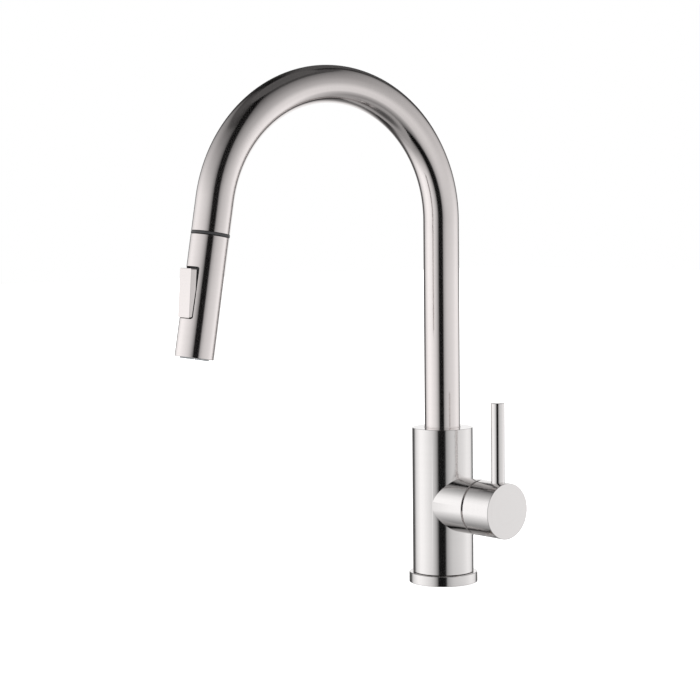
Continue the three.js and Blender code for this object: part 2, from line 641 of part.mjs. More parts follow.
/** Domed trim ring over the nut, seen only through the gap behind the cap. */
function domeCover() {
  const dome = (r, inset) => 41 - inset + Math.sqrt(33.7 ** 2 - r ** 2) - Math.sqrt(33.7 ** 2 - 18.9 ** 2);
  const outside = [18.9, 17, 15.2, 13.6].map((r) => [r, dome(r, 0)]);
  const inside = [13.6, 15.2, 17].map((r) => [r, dome(r, 1.1)]);
  return onHub(turned([...outside, ...inside, [17.6, 40.8], [18.9, 40.8]], 24));
}

addPart(faucet, "dome_cover", domeCover(), NICKEL);

// ---------------------------------------------------------------- lever
const STEM_HALF = 3.5;
const STEM_END = 60;
const SET_SCREW_X = 56;
const HOLLOW_STEPS = 6;
const LEVER_SEAT = 19.7; // height of the lever pin's seat above the hub's axis

/** Square bar on the tilt pin, with a ball end in the disc carrier. */
function leverStem() {
  const ball = toSolid(new THREE.SphereGeometry(BALL_R, 14, 9).translate(TILT_X - BALL_ARM, 0, HUB_Z));
  const neck = shift(block(TILT_X - BALL_ARM, TILT_X, -1.6, 1.6, -1.6, 1.6), 0, 0, HUB_Z);
  const bar = shift(block(TILT_X - 3, STEM_END, -STEM_HALF, STEM_HALF, -STEM_HALF, STEM_HALF), 0, 0, HUB_Z);
  return cut(join(bar, neck, ball), shift(alongY(rod(1.75, -5, 5, 12)), TILT_X, 0, HUB_Z));
}

/** Cylindrical cap, hollowed as part of a sphere about the tilt pin, so that it clears the hub as it tilts. */
function handleCap() {
  const edge = 0.4;
  const hollowDepth = Math.acos((CAP_START - TILT_X) / CAP_CLEAR_R);
  const hollow = Array.from({ length: HOLLOW_STEPS + 1 }, (_, i) => {
    const a = (hollowDepth * (HOLLOW_STEPS - i)) / HOLLOW_STEPS;
    return [CAP_CLEAR_R * Math.sin(a), TILT_X + CAP_CLEAR_R * Math.cos(a)];
  });
  hollow[HOLLOW_STEPS][0] = 0;
  const cap = onHub(turned([
    ...hollow, [0, CAP_END], [HUB_R - edge, CAP_END], [HUB_R, CAP_END - edge], [HUB_R, CAP_START],
  ], 40));
  const socket = STEM_HALF + GAP;
  return cut(
    cap,
    shift(block(CAP_START, STEM_END + 0.4, -socket, socket, -socket, socket), 0, 0, HUB_Z),
    shift(rod(LEVER_R + GAP, LEVER_SEAT, HUB_R + 2, 28), LEVER_X, 0, HUB_Z),
    shift(rod(3 + GAP, 8.4, LEVER_SEAT + 1, 16), LEVER_X, 0, HUB_Z),
    shift(rod(2.5, -HUB_R - 1, -STEM_HALF, 14), SET_SCREW_X, 0, HUB_Z),
    shift(rod(3.3, -HUB_R - 1, -18.6, 16), SET_SCREW_X, 0, HUB_Z),
  );
}

/** Plain rod with a rounded tip and a threaded stud below. */
function leverPin() {
  const foot = HUB_Z + LEVER_SEAT + GAP;
  return shift(turned([
    [0, HUB_Z + 9], [3, HUB_Z + 9], [3, foot], [LEVER_R, foot], [LEVER_R, LEVER_TOP - 0.6],
    ...arcPoints(LEVER_R - 0.6, LEVER_TOP - 0.6, 0.6, 30, 90, 2), [0, LEVER_TOP],
  ], 28), LEVER_X, 0, 0);
}

function setScrew() {
  const screw = turned([[0, -18.2], [2.15, -18.2], [2.15, -5], [1.4, -4.2], [0, -4.2]], 12);
  return shift(cut(screw, rod(1.2, -19, -15, 6)), SET_SCREW_X, 0, HUB_Z);
}

/** Push-in plug with the warm and cold mark. */
const indicatorPlug = () =>
  shift(turned([[0, -21.3], [2.2, -21.3], [2.9, -20.9], [2.9, -18.9], [0, -18.9]], 16), SET_SCREW_X, 0, HUB_Z);

addPart(faucet, "lever_stem", leverStem(), STEEL);
addPart(faucet, "handle_cap", handleCap(), NICKEL);
addPart(faucet, "lever_pin", leverPin(), NICKEL);
addPart(faucet, "handle_set_screw", setScrew(), STEEL);
addPart(faucet, "indicator_plug", indicatorPlug(), INDICATOR);

export default faucet;
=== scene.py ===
"""Pull-down kitchen faucet in brushed nickel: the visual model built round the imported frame.

Every sub-assembly is a class. Its sizes are dataclass fields in millimetres, read from the frame
where the frame holds them, and its methods build and dress the meshes. Pieces are made in a local
frame of their own, such as the hub's or the dock's, and placed by a matrix, with the place in the mesh.
"""
import json
import logging
import math
from dataclasses import dataclass, field, replace
from enum import Enum
from typing import Callable, Iterable, Sequence

import bmesh
import bpy
from mathutils import Matrix, Vector


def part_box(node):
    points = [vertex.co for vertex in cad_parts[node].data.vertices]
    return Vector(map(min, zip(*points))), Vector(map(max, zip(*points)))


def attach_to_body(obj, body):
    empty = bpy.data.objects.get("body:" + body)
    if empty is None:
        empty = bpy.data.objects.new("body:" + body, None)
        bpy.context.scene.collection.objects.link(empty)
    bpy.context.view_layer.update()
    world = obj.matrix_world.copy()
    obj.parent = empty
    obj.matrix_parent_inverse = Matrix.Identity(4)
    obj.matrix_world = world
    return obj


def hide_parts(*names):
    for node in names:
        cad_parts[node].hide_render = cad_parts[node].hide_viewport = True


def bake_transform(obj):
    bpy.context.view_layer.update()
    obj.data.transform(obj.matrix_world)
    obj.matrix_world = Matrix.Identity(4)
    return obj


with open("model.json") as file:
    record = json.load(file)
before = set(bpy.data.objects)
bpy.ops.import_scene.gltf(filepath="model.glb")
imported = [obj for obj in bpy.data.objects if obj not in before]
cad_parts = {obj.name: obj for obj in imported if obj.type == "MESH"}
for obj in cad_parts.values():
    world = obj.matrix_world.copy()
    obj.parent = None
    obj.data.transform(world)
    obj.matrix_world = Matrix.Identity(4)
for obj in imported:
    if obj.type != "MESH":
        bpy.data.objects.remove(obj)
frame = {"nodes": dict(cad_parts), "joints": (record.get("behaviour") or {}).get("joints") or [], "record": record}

LOG = logging.getLogger("faucet")
MM = 0.001
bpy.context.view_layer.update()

FILLET_STEPS = 6
FACE_SLOPE = 0.83  # how fast the grain's run changes with the radius, so that end faces get rings too
ON_SIDE = Matrix.Rotation(-math.pi / 2, 4, "X")  # lays a turned piece along Y

Point = tuple[float, float]
Corner = tuple[float, float, float]


# ------------------------------------------------------------------------------- node maths
class Value:
    """A node socket that can be used in Python expressions. Each operation adds a Math node."""

    def __init__(self, tree: bpy.types.NodeTree, socket: bpy.types.NodeSocket) -> None:
        """Wraps an output socket of a node tree."""
        self.tree = tree
        self.socket = socket

    def math(self, operation: str, *others: "Value | float", clamp: bool = False) -> "Value":
        """Adds one Math node.

        Args:
            operation: The Math node's operation.
            others: The second and third operands.
            clamp: Keeps the result between 0 and 1.

        Returns:
            The node's output.
        """
        node = self.tree.nodes.new("ShaderNodeMath")
        node.operation = operation
        node.use_clamp = clamp
        for socket, operand in zip(node.inputs, (self, *others)):
            attach(self.tree, socket, operand)
        return Value(self.tree, node.outputs[0])

    def __add__(self, other: "Value | float") -> "Value":
        """Sum."""
        return self.math("ADD", other)

    def __radd__(self, other: float) -> "Value":
        """Sum with a number on the left."""
        return self.math("ADD", other)

    def __sub__(self, other: "Value | float") -> "Value":
        """Difference."""
        return self.math("SUBTRACT", other)

    def __rsub__(self, other: float) -> "Value":
        """A number less this value."""
        return (self * -1.0).math("ADD", other)

    def __mul__(self, other: "Value | float") -> "Value":
        """Product."""
        return self.math("MULTIPLY", other)

    def __rmul__(self, other: float) -> "Value":
        """Product with a number on the left."""
        return self.math("MULTIPLY", other)

    def __truediv__(self, other: "Value | float") -> "Value":
        """Quotient."""
        return self.math("DIVIDE", other)


def attach(tree: bpy.types.NodeTree, socket: bpy.types.NodeSocket, value: object) -> None:
    """Links a Value to a socket, or sets the socket's own value."""
    if isinstance(value, Value):
        tree.links.new(value.socket, socket)
    else:
        socket.default_value = value


class Graph:
    """Adds nodes to a shader or geometry tree."""

    def __init__(self, tree: bpy.types.NodeTree) -> None:
        """Starts on a tree."""
        self.tree = tree

    def node(self, kind: str, settings: dict | None = None, **inputs: object) -> bpy.types.Node:
        """Adds a node.

        Args:
            kind: The node's type name.
            settings: The node's own settings. A ramp's stops are given under "stops".
            inputs: Socket values or links, by socket name with underscores for spaces.

        Returns:
            The new node.
        """
        node = self.tree.nodes.new(kind)
        for key, value in (settings or {}).items():
            if key == "stops":
                self._stops(node, value)
            else:
                setattr(node, key, value)
        for key, value in inputs.items():
            name = key.replace("_", " ")
            attach(self.tree, next(s for s in node.inputs if s.name == name and s.enabled), value)
        return node

    @staticmethod
    def _stops(node: bpy.types.Node, stops: Sequence[tuple[float, float | tuple]]) -> None:
        """Sets a colour ramp's stops. A plain number is a grey."""
        elements = node.color_ramp.elements
        while len(elements) < len(stops):
            elements.new(0.5)
        for element, (position, shade) in zip(elements, stops):
            element.position = position
            element.color = (*shade, 1.0) if isinstance(shade, tuple) else (shade, shade, shade, 1.0)

    def value(
        self, kind: str, output: str | int = 0, settings: dict | None = None, **inputs: object,
    ) -> Value:
        """Adds a node and returns one of its outputs as a Value."""
        node = self.node(kind, settings, **inputs)
        return Value(self.tree, node.outputs[output])

    def split(self, vector: Value) -> tuple[Value, Value, Value]:
        """The three components of a vector."""
        node = self.node("ShaderNodeSeparateXYZ", None, Vector=vector)
        return tuple(Value(self.tree, node.outputs[axis]) for axis in range(3))

    def combine(self, x: Value | float, y: Value | float, z: Value | float) -> Value:
        """A vector from three components."""
        return self.value("ShaderNodeCombineXYZ", 0, None, X=x, Y=y, Z=z)

    def noise(self, vector: Value, scale: float, detail: float, roughness: float = 0.5) -> Value:
        """Noise between 0 and 1."""
        return self.value(
            "ShaderNodeTexNoise", "Fac", None, Vector=vector, Scale=scale, Detail=detail, Roughness=roughness,
        )

    def ramp(self, factor: Value, stops: Sequence[tuple[float, float]]) -> Value:
        """A ramp of greys."""
        return self.value("ShaderNodeValToRGB", 0, {"stops": stops}, Fac=factor)

    def link(self, value: Value, node: bpy.types.Node, socket: str | int) -> None:
        """Links a value to a socket."""
        self.tree.links.new(value.socket, node.inputs[socket])

    def dress(
        self, shader: bpy.types.Node, colour: tuple[float, float, float], tone: Value, roughness: Value,
        relief: Value, strength: float, depth: float,
    ) -> None:
        """Links a material's varying inputs to its shader.

        Args:
            shader: The Principled node.
            colour: The base colour, before the tone.
            tone: Multiplies the colour.
            roughness: The roughness.
            relief: The bump's height.
            strength: The bump's strength.
            depth: The bump's distance, in millimetres.
        """
        tinted = self.value(
            "ShaderNodeMix", 2, {"data_type": "RGBA", "blend_type": "MULTIPLY"}, Factor=1.0, A=(*colour, 1.0),
            B=self.combine(tone, tone, tone),
        )
        bump = self.value("ShaderNodeBump", 0, None, Strength=strength, Distance=depth * MM, Height=relief)
        for value, socket in ((tinted, "Base Color"), (roughness, "Roughness"), (bump, "Normal")):
            self.link(value, shader, socket)


# ------------------------------------------------------------------------------- finishes
class Slot(Enum):
    """The record's material slots."""

    NICKEL = "satin_nickel"
    BRASS = "machined_brass"
    STEEL = "zinc_steel"
    RUBBER = "black_rubber"
    DARK = "dark_plastic"
    GREY = "grey_plastic"
    WHITE = "white_plastic"
    SILICONE = "grey_silicone"
    CERAMIC = "white_ceramic"
    BRAID = "hose_braid"
    ENAMEL = "indicator_enamel"


GRAIN = "grain"  # corner attribute: the piece's own frame, x and y round the axis, z along the surface


@dataclass(frozen=True)
class TurnedMetal:
    """Metal with fine lines that run round the piece, as a lathe or a brushing belt leaves them.

    Lines are made from the grain attribute, so they follow a bent tube as they follow a straight one.
    """

    name: str
    colour: tuple[float, float, float]
    roughness: float = 0.12
    spread: float = 0.045
    lines_per_mm: float = 5.0
    depth: float = 0.0035
    shade: float = 0.05
    smear: float = 0.02
    by_place: bool = False  # reads the grain from Object coordinates, for meshes without the attribute

    def build(self) -> bpy.types.Material:
        """Makes the material."""
        material, graph, shader = new_material(self.name)
        if self.by_place:
            where = graph.value("ShaderNodeTexCoord", "Object")
        else:
            where = graph.value("ShaderNodeAttribute", "Vector", {"attribute_name": GRAIN})
        fine = self._lines(graph, where, self.lines_per_mm * 1000, 30.0, 3.0)
        broad = self._lines(graph, where, self.lines_per_mm * 90, 12.0, 2.0)
        cloud = graph.noise(graph.value("ShaderNodeTexCoord", "Object"), 14.0, 2.0)
        grain = fine * 0.6 + broad * 0.4
        tone = (grain - 0.5) * (2 * self.shade) + 1.0
        rough = (grain - 0.5) * (2 * self.spread) + (cloud - 0.5) * (2 * self.smear) + self.roughness
        graph.dress(shader, self.colour, tone, rough, fine, 0.35, self.depth)
        shader.inputs["Metallic"].default_value = 1.0
        return material

    @staticmethod
    def _lines(graph: Graph, where: Value, pitch: float, drift: float, detail: float) -> Value:
        """Noise squeezed along the grain: high frequency along the surface, low round it."""
        x, y, z = graph.split(where)
        return graph.noise(graph.combine(x * drift, y * drift, z * pitch), 1.0, detail, 0.6)


@dataclass(frozen=True)
class Moulded:
    """Moulded plastic or rubber: a fine eroded texture, cloudy gloss and slightly paler high spots."""

    name: str
    colour: tuple[float, float, float]
    roughness: float = 0.45
    pebble_per_mm: float = 3.0
    depth: float = 0.01
    shade: float = 0.12

    def build(self) -> bpy.types.Material:
        """Makes the material."""
        material, graph, shader = new_material(self.name)
        place = graph.value("ShaderNodeTexCoord", "Object")
        pebble = graph.noise(place, self.pebble_per_mm * 1000, 2.0)
        cloud = graph.noise(place, 60.0, 3.0)
        tone = (cloud - 0.5) * (2 * self.shade) + (pebble - 0.5) * self.shade + 1.0
        graph.dress(shader, self.colour, tone, (cloud - 0.5) * 0.16 + self.roughness, pebble, 0.4, self.depth)
        return material


@dataclass(frozen=True)
class Braid:
    """Nylon braid on the hose: two crossing sets of strands over a darker ground."""

    name: str
    colour: tuple[float, float, float]
    strands: float = 12.0
    pitch: float = 9.0

    def build(self) -> bpy.types.Material:
        """Makes the material."""
        material, graph, shader = new_material(self.name)
        x, y, z = graph.split(graph.value("ShaderNodeAttribute", "Vector", {"attribute_name": GRAIN}))
        turn = y.math("ARCTAN2", x) * self.strands
        climb = z * (2 * math.pi * 1000 * self.strands / self.pitch / 3)
        weave = (turn + climb).math("SINE").math("MAXIMUM", (turn - climb).math("SINE")) * 0.5 + 0.5
        fleck = graph.noise(graph.combine(x, y, z), 2500.0, 2.0)
        graph.dress(shader, self.colour, weave * 0.7 + fleck * 0.3 + 0.25, 0.7 - weave * 0.2, weave, 0.6, 0.2)
        return material


def empty_graph(owner: bpy.types.Material | bpy.types.World) -> Graph:
    """The graph of a material or world, with its first nodes taken out."""
    owner.use_nodes = True
    owner.node_tree.nodes.clear()
    return Graph(owner.node_tree)


def new_material(name: str) -> tuple[bpy.types.Material, Graph, bpy.types.Node]:
    """An empty node material with a Principled shader on its output.

    Args:
        name: The material's name.

    Returns:
        The material, its graph and its shader node.
    """
    material = bpy.data.materials.new(name)
    material.use_nodes = True
    graph = Graph(material.node_tree)
    shader = next(n for n in material.node_tree.nodes if n.type == "BSDF_PRINCIPLED")
    return material, graph, shader


NICKEL_TONE = (0.795, 0.772, 0.765)
# A darker, pinker copy of the nickel tone for the gooseneck, spray shell and rocker: painted light, standing for
# the warmer, dimmer light that these upper pieces reflect.
PAINTED_LIGHT_TONE = (0.790, 0.742, 0.732)
FINISHES = {
    "nickel": TurnedMetal("brushed_nickel", NICKEL_TONE),
    # The upper pieces' copy of the nickel, in the darker, pinker painted-light tone.
    "painted_light_nickel": TurnedMetal("brushed_nickel_painted_light", PAINTED_LIGHT_TONE),
    "polished": TurnedMetal("turned_nickel_flange", NICKEL_TONE, 0.10, spread=0.04, lines_per_mm=3.0),
    # cover: the dome's nickel painted dark, as painted shade for the gap behind the cap
    "cover": TurnedMetal("painted_shade_cover", (0.20, 0.19, 0.19), roughness=0.35),
    "brass": TurnedMetal("machined_brass", (0.78, 0.57, 0.27), roughness=0.3, lines_per_mm=4.0, shade=0.1),
    "steel": TurnedMetal("plain_steel", (0.60, 0.61, 0.63), roughness=0.32, lines_per_mm=4.0),
    "rubber": Moulded("black_rubber", (0.022, 0.022, 0.023), roughness=0.72, depth=0.02),
    "dark": Moulded("dark_plastic", (0.035, 0.035, 0.037), roughness=0.42),
    "grey": Moulded("grey_plastic", (0.30, 0.31, 0.32), roughness=0.5),
    "white": Moulded("white_acetal", (0.80, 0.79, 0.76), roughness=0.4, shade=0.04),
    "silicone": Moulded("grey_silicone", (0.30, 0.31, 0.32), roughness=0.6, shade=0.06),
    "ceramic": Moulded("white_alumina", (0.86, 0.84, 0.78), roughness=0.18, depth=0.002, shade=0.03),
    "enamel": Moulded("indicator_red", (0.55, 0.025, 0.02), roughness=0.22, depth=0.002),
    "braid": Braid("hose_braid", (0.29, 0.30, 0.31)),
    "hose_cover": Moulded("hose_cover", (0.16, 0.165, 0.17), 0.6, pebble_per_mm=1.2, depth=0.08, shade=0.3),
    "core": Moulded("dark_grey_plastic", (0.05, 0.05, 0.052), roughness=0.5),
}
SLOT_FINISH = {
    Slot.NICKEL: "nickel", Slot.BRASS: "brass", Slot.STEEL: "steel", Slot.RUBBER: "rubber", Slot.DARK: "dark",
    Slot.GREY: "grey", Slot.WHITE: "white", Slot.SILICONE: "silicone", Slot.CERAMIC: "ceramic",
    Slot.BRAID: "braid", Slot.ENAMEL: "enamel",
}
_MADE: dict[str, bpy.types.Material] = {}


def finish(name: str) -> bpy.types.Material:
    """The material of a named finish, made once."""
    if name not in _MADE:
        _MADE[name] = FINISHES[name].build()
    return _MADE[name]


def placed_finish(name: str) -> bpy.types.Material:
    """The same finish for a mesh without a grain attribute, made once."""
    look = FINISHES[name]
    if not isinstance(look, TurnedMetal):
        return finish(name)
    key = f"{look.name}_placed"
    if key not in _MADE:
        _MADE[key] = replace(look, name=key, by_place=True).build()
    return _MADE[key]


# ------------------------------------------------------------------------------- outlines and meshes
def rounded(corners: Iterable[Corner | Point], steps: int = 5) -> list[Point]:
    """Rounds an outline's corners.

    Args:
        corners: Points as (radius, height) or (radius, height, fillet), in millimetres.
        steps: Steps in each fillet.

    Returns:
        The outline with each fillet as an arc.
    """
    points = [(*c, 0.0) if len(c) == 2 else tuple(c) for c in corners]
    outline: list[Point] = []
    for i, (x, y, fillet) in enumerate(points):
        here = Vector((x, y))
        before = Vector(points[i - 1][:2]) - here
        after = Vector(points[(i + 1) % len(points)][:2]) - here
        if fillet <= 0 or before.length < 1e-6 or after.length < 1e-6:
            outline.append((x, y))
            continue
        half = before.angle(after) / 2
        run = min(fillet / math.tan(half), 0.49 * before.length, 0.49 * after.length)
        start, end = here + before.normalized() * run, here + after.normalized() * run
        centre = here + (before.normalized() + after.normalized()).normalized() * (run / math.cos(half))
        a, b = start - centre, end - centre
        sweep = math.atan2(a.x * b.y - a.y * b.x, a.dot(b))
        for k in range(steps + 1):
            c, s = math.cos(sweep * k / steps), math.sin(sweep * k / steps)
            outline.append((centre.x + a.x * c - a.y * s, centre.y + a.x * s + a.y * c))
    return outline


def signed_area(outline: Sequence[Point]) -> float:
    """Twice the area of a closed outline, positive when it runs anticlockwise."""
    return sum(a[0] * b[1] - b[0] * a[1] for a, b in zip(outline, [*outline[1:], outline[0]]))


def revolve(name: str, corners: Iterable[Corner | Point], segments: int = 160) -> bpy.types.Object:
    """A solid of revolution about the local Z axis.

    Args:
        name: The piece's name.
        corners: The outline in millimetres. It starts and ends on the axis, or closes on itself.
        segments: Steps round the axis.

    Returns:
        The object, in metres, still in its local frame.
    """
    outline = rounded(corners)
    if signed_area(outline) < 0:
        outline.reverse()
    vertices: list[tuple[float, float, float]] = []
    rows: list[list[int]] = []
    for r, z in outline:
        first = len(vertices)
        if r < 1e-6:
            vertices.append((0.0, 0.0, z * MM))
            rows.append([first] * segments)
            continue
        for k in range(segments):
            a = 2 * math.pi * k / segments
            vertices.append((r * math.cos(a) * MM, r * math.sin(a) * MM, z * MM))
        rows.append(list(range(first, first + segments)))
    faces = []
    for low, high in zip(rows, [*rows[1:], rows[0]]):
        for k in range(segments):
            n = (k + 1) % segments
            face = list(dict.fromkeys((low[k], low[n], high[n], high[k])))
            if len(face) > 2:
                faces.append(face)
    return mesh_object(name, vertices, faces)


def cylinder(name: str, radius: float, low: float, high: float, segments: int) -> bpy.types.Object:
    """A plain cylinder about the local Z axis, between two heights in millimetres."""
    return revolve(name, [(0, low), (radius, low), (radius, high), (0, high)], segments)


def prism(name: str, corners: Iterable[Corner | Point], z0: float, z1: float) -> bpy.types.Object:
    """A straight solid over a closed outline in millimetres, between two heights."""
    points = rounded(corners, FILLET_STEPS)
    if signed_area(points) < 0:
        points.reverse()
    count = len(points)
    vertices = [(x * MM, y * MM, z * MM) for z in (z0, z1) for x, y in points]
    faces = [list(range(count))[::-1], list(range(count, 2 * count))]
    for i in range(count):
        n = (i + 1) % count
        faces.append([i, n, n + count, i + count])
    return mesh_object(name, vertices, faces)


def polygon(sides: int, radius: float) -> list[Point]:
    """A regular polygon's corners."""
    turns = [2 * math.pi * i / sides for i in range(sides)]
    return [(radius * math.cos(a), radius * math.sin(a)) for a in turns]


def rectangle(x0: float, y0: float, x1: float, y1: float, fillet: float = 0.0) -> list[Corner]:
    """A rectangle's corners."""
    return [(x0, y0, fillet), (x1, y0, fillet), (x1, y1, fillet), (x0, y1, fillet)]


def offset(x: float = 0.0, y: float = 0.0, z: float = 0.0) -> Matrix:
    """A translation, in millimetres."""
    return Matrix.Translation((x * MM, y * MM, z * MM))


def mesh_object(name: str, vertices: Sequence, faces: Sequence) -> bpy.types.Object:
    """A new mesh object at the origin."""
    mesh = bpy.data.meshes.new(name)
    mesh.from_pydata(vertices, [], faces)
    mesh.update()
    piece = bpy.data.objects.new(name, mesh)
    bpy.context.scene.collection.objects.link(piece)
    return piece


def move(piece: bpy.types.Object, place: Matrix) -> bpy.types.Object:
    """Puts a place into a piece's mesh."""
    piece.data.transform(place)
    return piece


def carve(
    piece: bpy.types.Object, tools: Sequence[bpy.types.Object], operation: str = "DIFFERENCE",
) -> bpy.types.Object:
    """Cuts tools from a piece, or joins them to it, and removes the tools.

    Args:
        piece: The mesh that is kept.
        tools: Closed meshes.
        operation: DIFFERENCE or UNION.

    Returns:
        The piece, with a plain mesh.
    """
    for tool in tools:
        modifier = piece.modifiers.new("cut", "BOOLEAN")
        modifier.operation = operation
        modifier.solver = "EXACT"
        modifier.object = tool
    settle(piece)
    for tool in tools:
        bpy.data.objects.remove(tool)
    return piece


def settle(piece: bpy.types.Object) -> bpy.types.Object:
    """Turns a piece's evaluated result into its own plain mesh, without modifiers."""
    bpy.context.view_layer.update()
    result = piece.evaluated_get(bpy.context.evaluated_depsgraph_get())
    mesh = bpy.data.meshes.new_from_object(result)
    piece.modifiers.clear()
    piece.data = mesh
    mesh.name = piece.name
    return piece


def write_grain(piece: bpy.types.Object, frames: Callable[[Vector, Vector], Matrix]) -> None:
    """Stores the grain attribute: where each face corner is in the frame of its own turned surface.

    Args:
        piece: The piece, still in its local frame.
        frames: Gives the matrix to a surface's own frame, from a face's centre and normal.
    """
    mesh = piece.data
    attribute = mesh.attributes.get(GRAIN) or mesh.attributes.new(GRAIN, "FLOAT_VECTOR", "CORNER")
    values = [0.0] * (3 * len(mesh.loops))
    for polygon_face in mesh.polygons:
        to_local = frames(polygon_face.center, polygon_face.normal)
        for index in polygon_face.loop_indices:
            local = to_local @ mesh.vertices[mesh.loops[index].vertex_index].co
            radius = math.hypot(local.x, local.y)
            values[3 * index: 3 * index + 3] = (local.x, local.y, local.z - FACE_SLOPE * radius)
    attribute.data.foreach_set("vector", values)


def label(piece: bpy.types.Object) -> None:
    """Names a piece and its mesh, apart from the CAD node that it stands for."""
    piece.name = piece.name.split(".")[0] + "_fine"
    piece.data.name = piece.name


def one_frame(_centre: Vector, _normal: Vector) -> Matrix:
    """The frame of a piece that is turned about its own Z axis."""
    return Matrix.Identity(4)


def smooth(piece: bpy.types.Object, angle: float = 28.0) -> bpy.types.Object:
    """Smooth shading with sharp edges kept, and normals weighted to the larger faces."""
    piece.data.shade_smooth()
    piece.data.set_sharp_from_angle(angle=math.radians(angle))
    weigh = piece.modifiers.new("weigh", "WEIGHTED_NORMAL")
    weigh.keep_sharp = True
    return settle(piece)


@dataclass
class Bench:
    """Finishes pieces: grain, shading, place, material, body and the nodes they stand for."""

    made: list[str] = field(default_factory=list)

    def finish(
        self,
        piece: bpy.types.Object,
        place: Matrix,
        body: str,
        look: str,
        slot: Slot,
        stands_for: Sequence[str] = (),
        frames: Callable[[Vector, Vector], Matrix] = one_frame,
    ) -> bpy.types.Object:
        """Dresses a piece and fixes it to its body.

        Args:
            piece: A closed mesh in its local frame.
            place: From the local frame to the row frame.
            body: The body that it rides on.
            look: The finish's name.
            slot: The record's slot. Not used.
            stands_for: CAD nodes that it replaces.
            frames: Which turned surface each face belongs to.

        Returns:
            The piece.
        """
        write_grain(piece, frames)
        smooth(piece)
        label(piece)
        move(piece, place)
        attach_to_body(piece, body)
        if stands_for:
            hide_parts(*stands_for)
        return self.dress(piece, look, slot)

    def dress(self, piece: bpy.types.Object, look: str, slot: Slot) -> bpy.types.Object:
        """Gives a piece its material, and reports it."""
        piece.data.materials.clear()
        piece.data.materials.append(finish(look))
        self.made.append(piece.name)
        LOG.info("%s: %d faces", piece.name, len(piece.data.polygons))
        return piece


# ------------------------------------------------------------------------------- geometry node trees
class Tree:
    """A geometry node tree with named inputs and a material."""

    def __init__(self, name: str, inputs: dict[str, float | int]) -> None:
        """Starts a tree.

        Args:
            name: The tree's name.
            inputs: Each input's default value, by name. A whole number makes an integer socket.
        """
        self.group = bpy.data.node_groups.new(name, "GeometryNodeTree")
        self.graph = Graph(self.group)
        interface = self.group.interface
        interface.new_socket("Geometry", in_out="INPUT", socket_type="NodeSocketGeometry")
        for label, default in inputs.items():
            kind = "NodeSocketInt" if isinstance(default, int) else "NodeSocketFloat"
            interface.new_socket(label, in_out="INPUT", socket_type=kind).default_value = default
        interface.new_socket("Material", in_out="INPUT", socket_type="NodeSocketMaterial")
        interface.new_socket("Geometry", in_out="OUTPUT", socket_type="NodeSocketGeometry")
        self.source = self.group.nodes.new("NodeGroupInput")
        self.sink = self.group.nodes.new("NodeGroupOutput")

    def input(self, label: str) -> Value:
        """One of the tree's inputs."""
        return Value(self.group, self.source.outputs[label])

    def store(self, geometry: Value, name: str, value: Value, kind: str = "FLOAT") -> Value:
        """Stores a value on the geometry's points."""
        return self.graph.value(
            "GeometryNodeStoreNamedAttribute", 0, {"data_type": kind, "domain": "POINT"},
            Geometry=geometry, Name=name, Value=value,
        )

    def stored(self, name: str) -> Value:
        """A stored number."""
        return self.graph.value("GeometryNodeInputNamedAttribute", 0, {"data_type": "FLOAT"}, Name=name)

    def sweep(self, curve: Value, profile: Value) -> Value:
        """A capped tube of a profile along a curve."""
        return self.graph.value(
            "GeometryNodeCurveToMesh", 0, None, Curve=curve, Profile_Curve=profile, Fill_Caps=True,
        )

    def circle(self, sides: int | Value, radius: Value) -> Value:
        """A circle, as a profile."""
        return self.graph.value("GeometryNodeCurvePrimitiveCircle", 0, None, Resolution=sides, Radius=radius)

    def close(self, geometry: Value) -> None:
        """Ends the tree in Realize Instances and Set Material."""
        real = self.graph.value("GeometryNodeRealizeInstances", 0, None, Geometry=geometry)
        dressed = self.graph.value(
            "GeometryNodeSetMaterial", 0, None, Geometry=real, Material=self.input("Material"),
        )
        self.group.links.new(dressed.socket, self.sink.inputs[0])

    def apply(self, piece: bpy.types.Object, values: dict[str, object]) -> bpy.types.Object:
        """Runs the tree on an object and keeps the result as its mesh.

        Args:
            piece: A mesh or curve object.
            values: The inputs' values, by name.

        Returns:
            A mesh object with the result.
        """
        modifier = piece.modifiers.new("build", "NODES")
        modifier.node_group = self.group
        sockets = {s.name: s.identifier for s in self.group.interface.items_tree if s.in_out == "INPUT"}
        for label, value in values.items():
            modifier[sockets[label]] = value
        bpy.context.view_layer.update()
        result = piece.evaluated_get(bpy.context.evaluated_depsgraph_get())
        mesh = bpy.data.meshes.new_from_object(result)
        name = piece.name
        bpy.data.objects.remove(piece)
        mesh.name = name
        built = bpy.data.objects.new(name, mesh)
        bpy.context.scene.collection.objects.link(built)
        return built


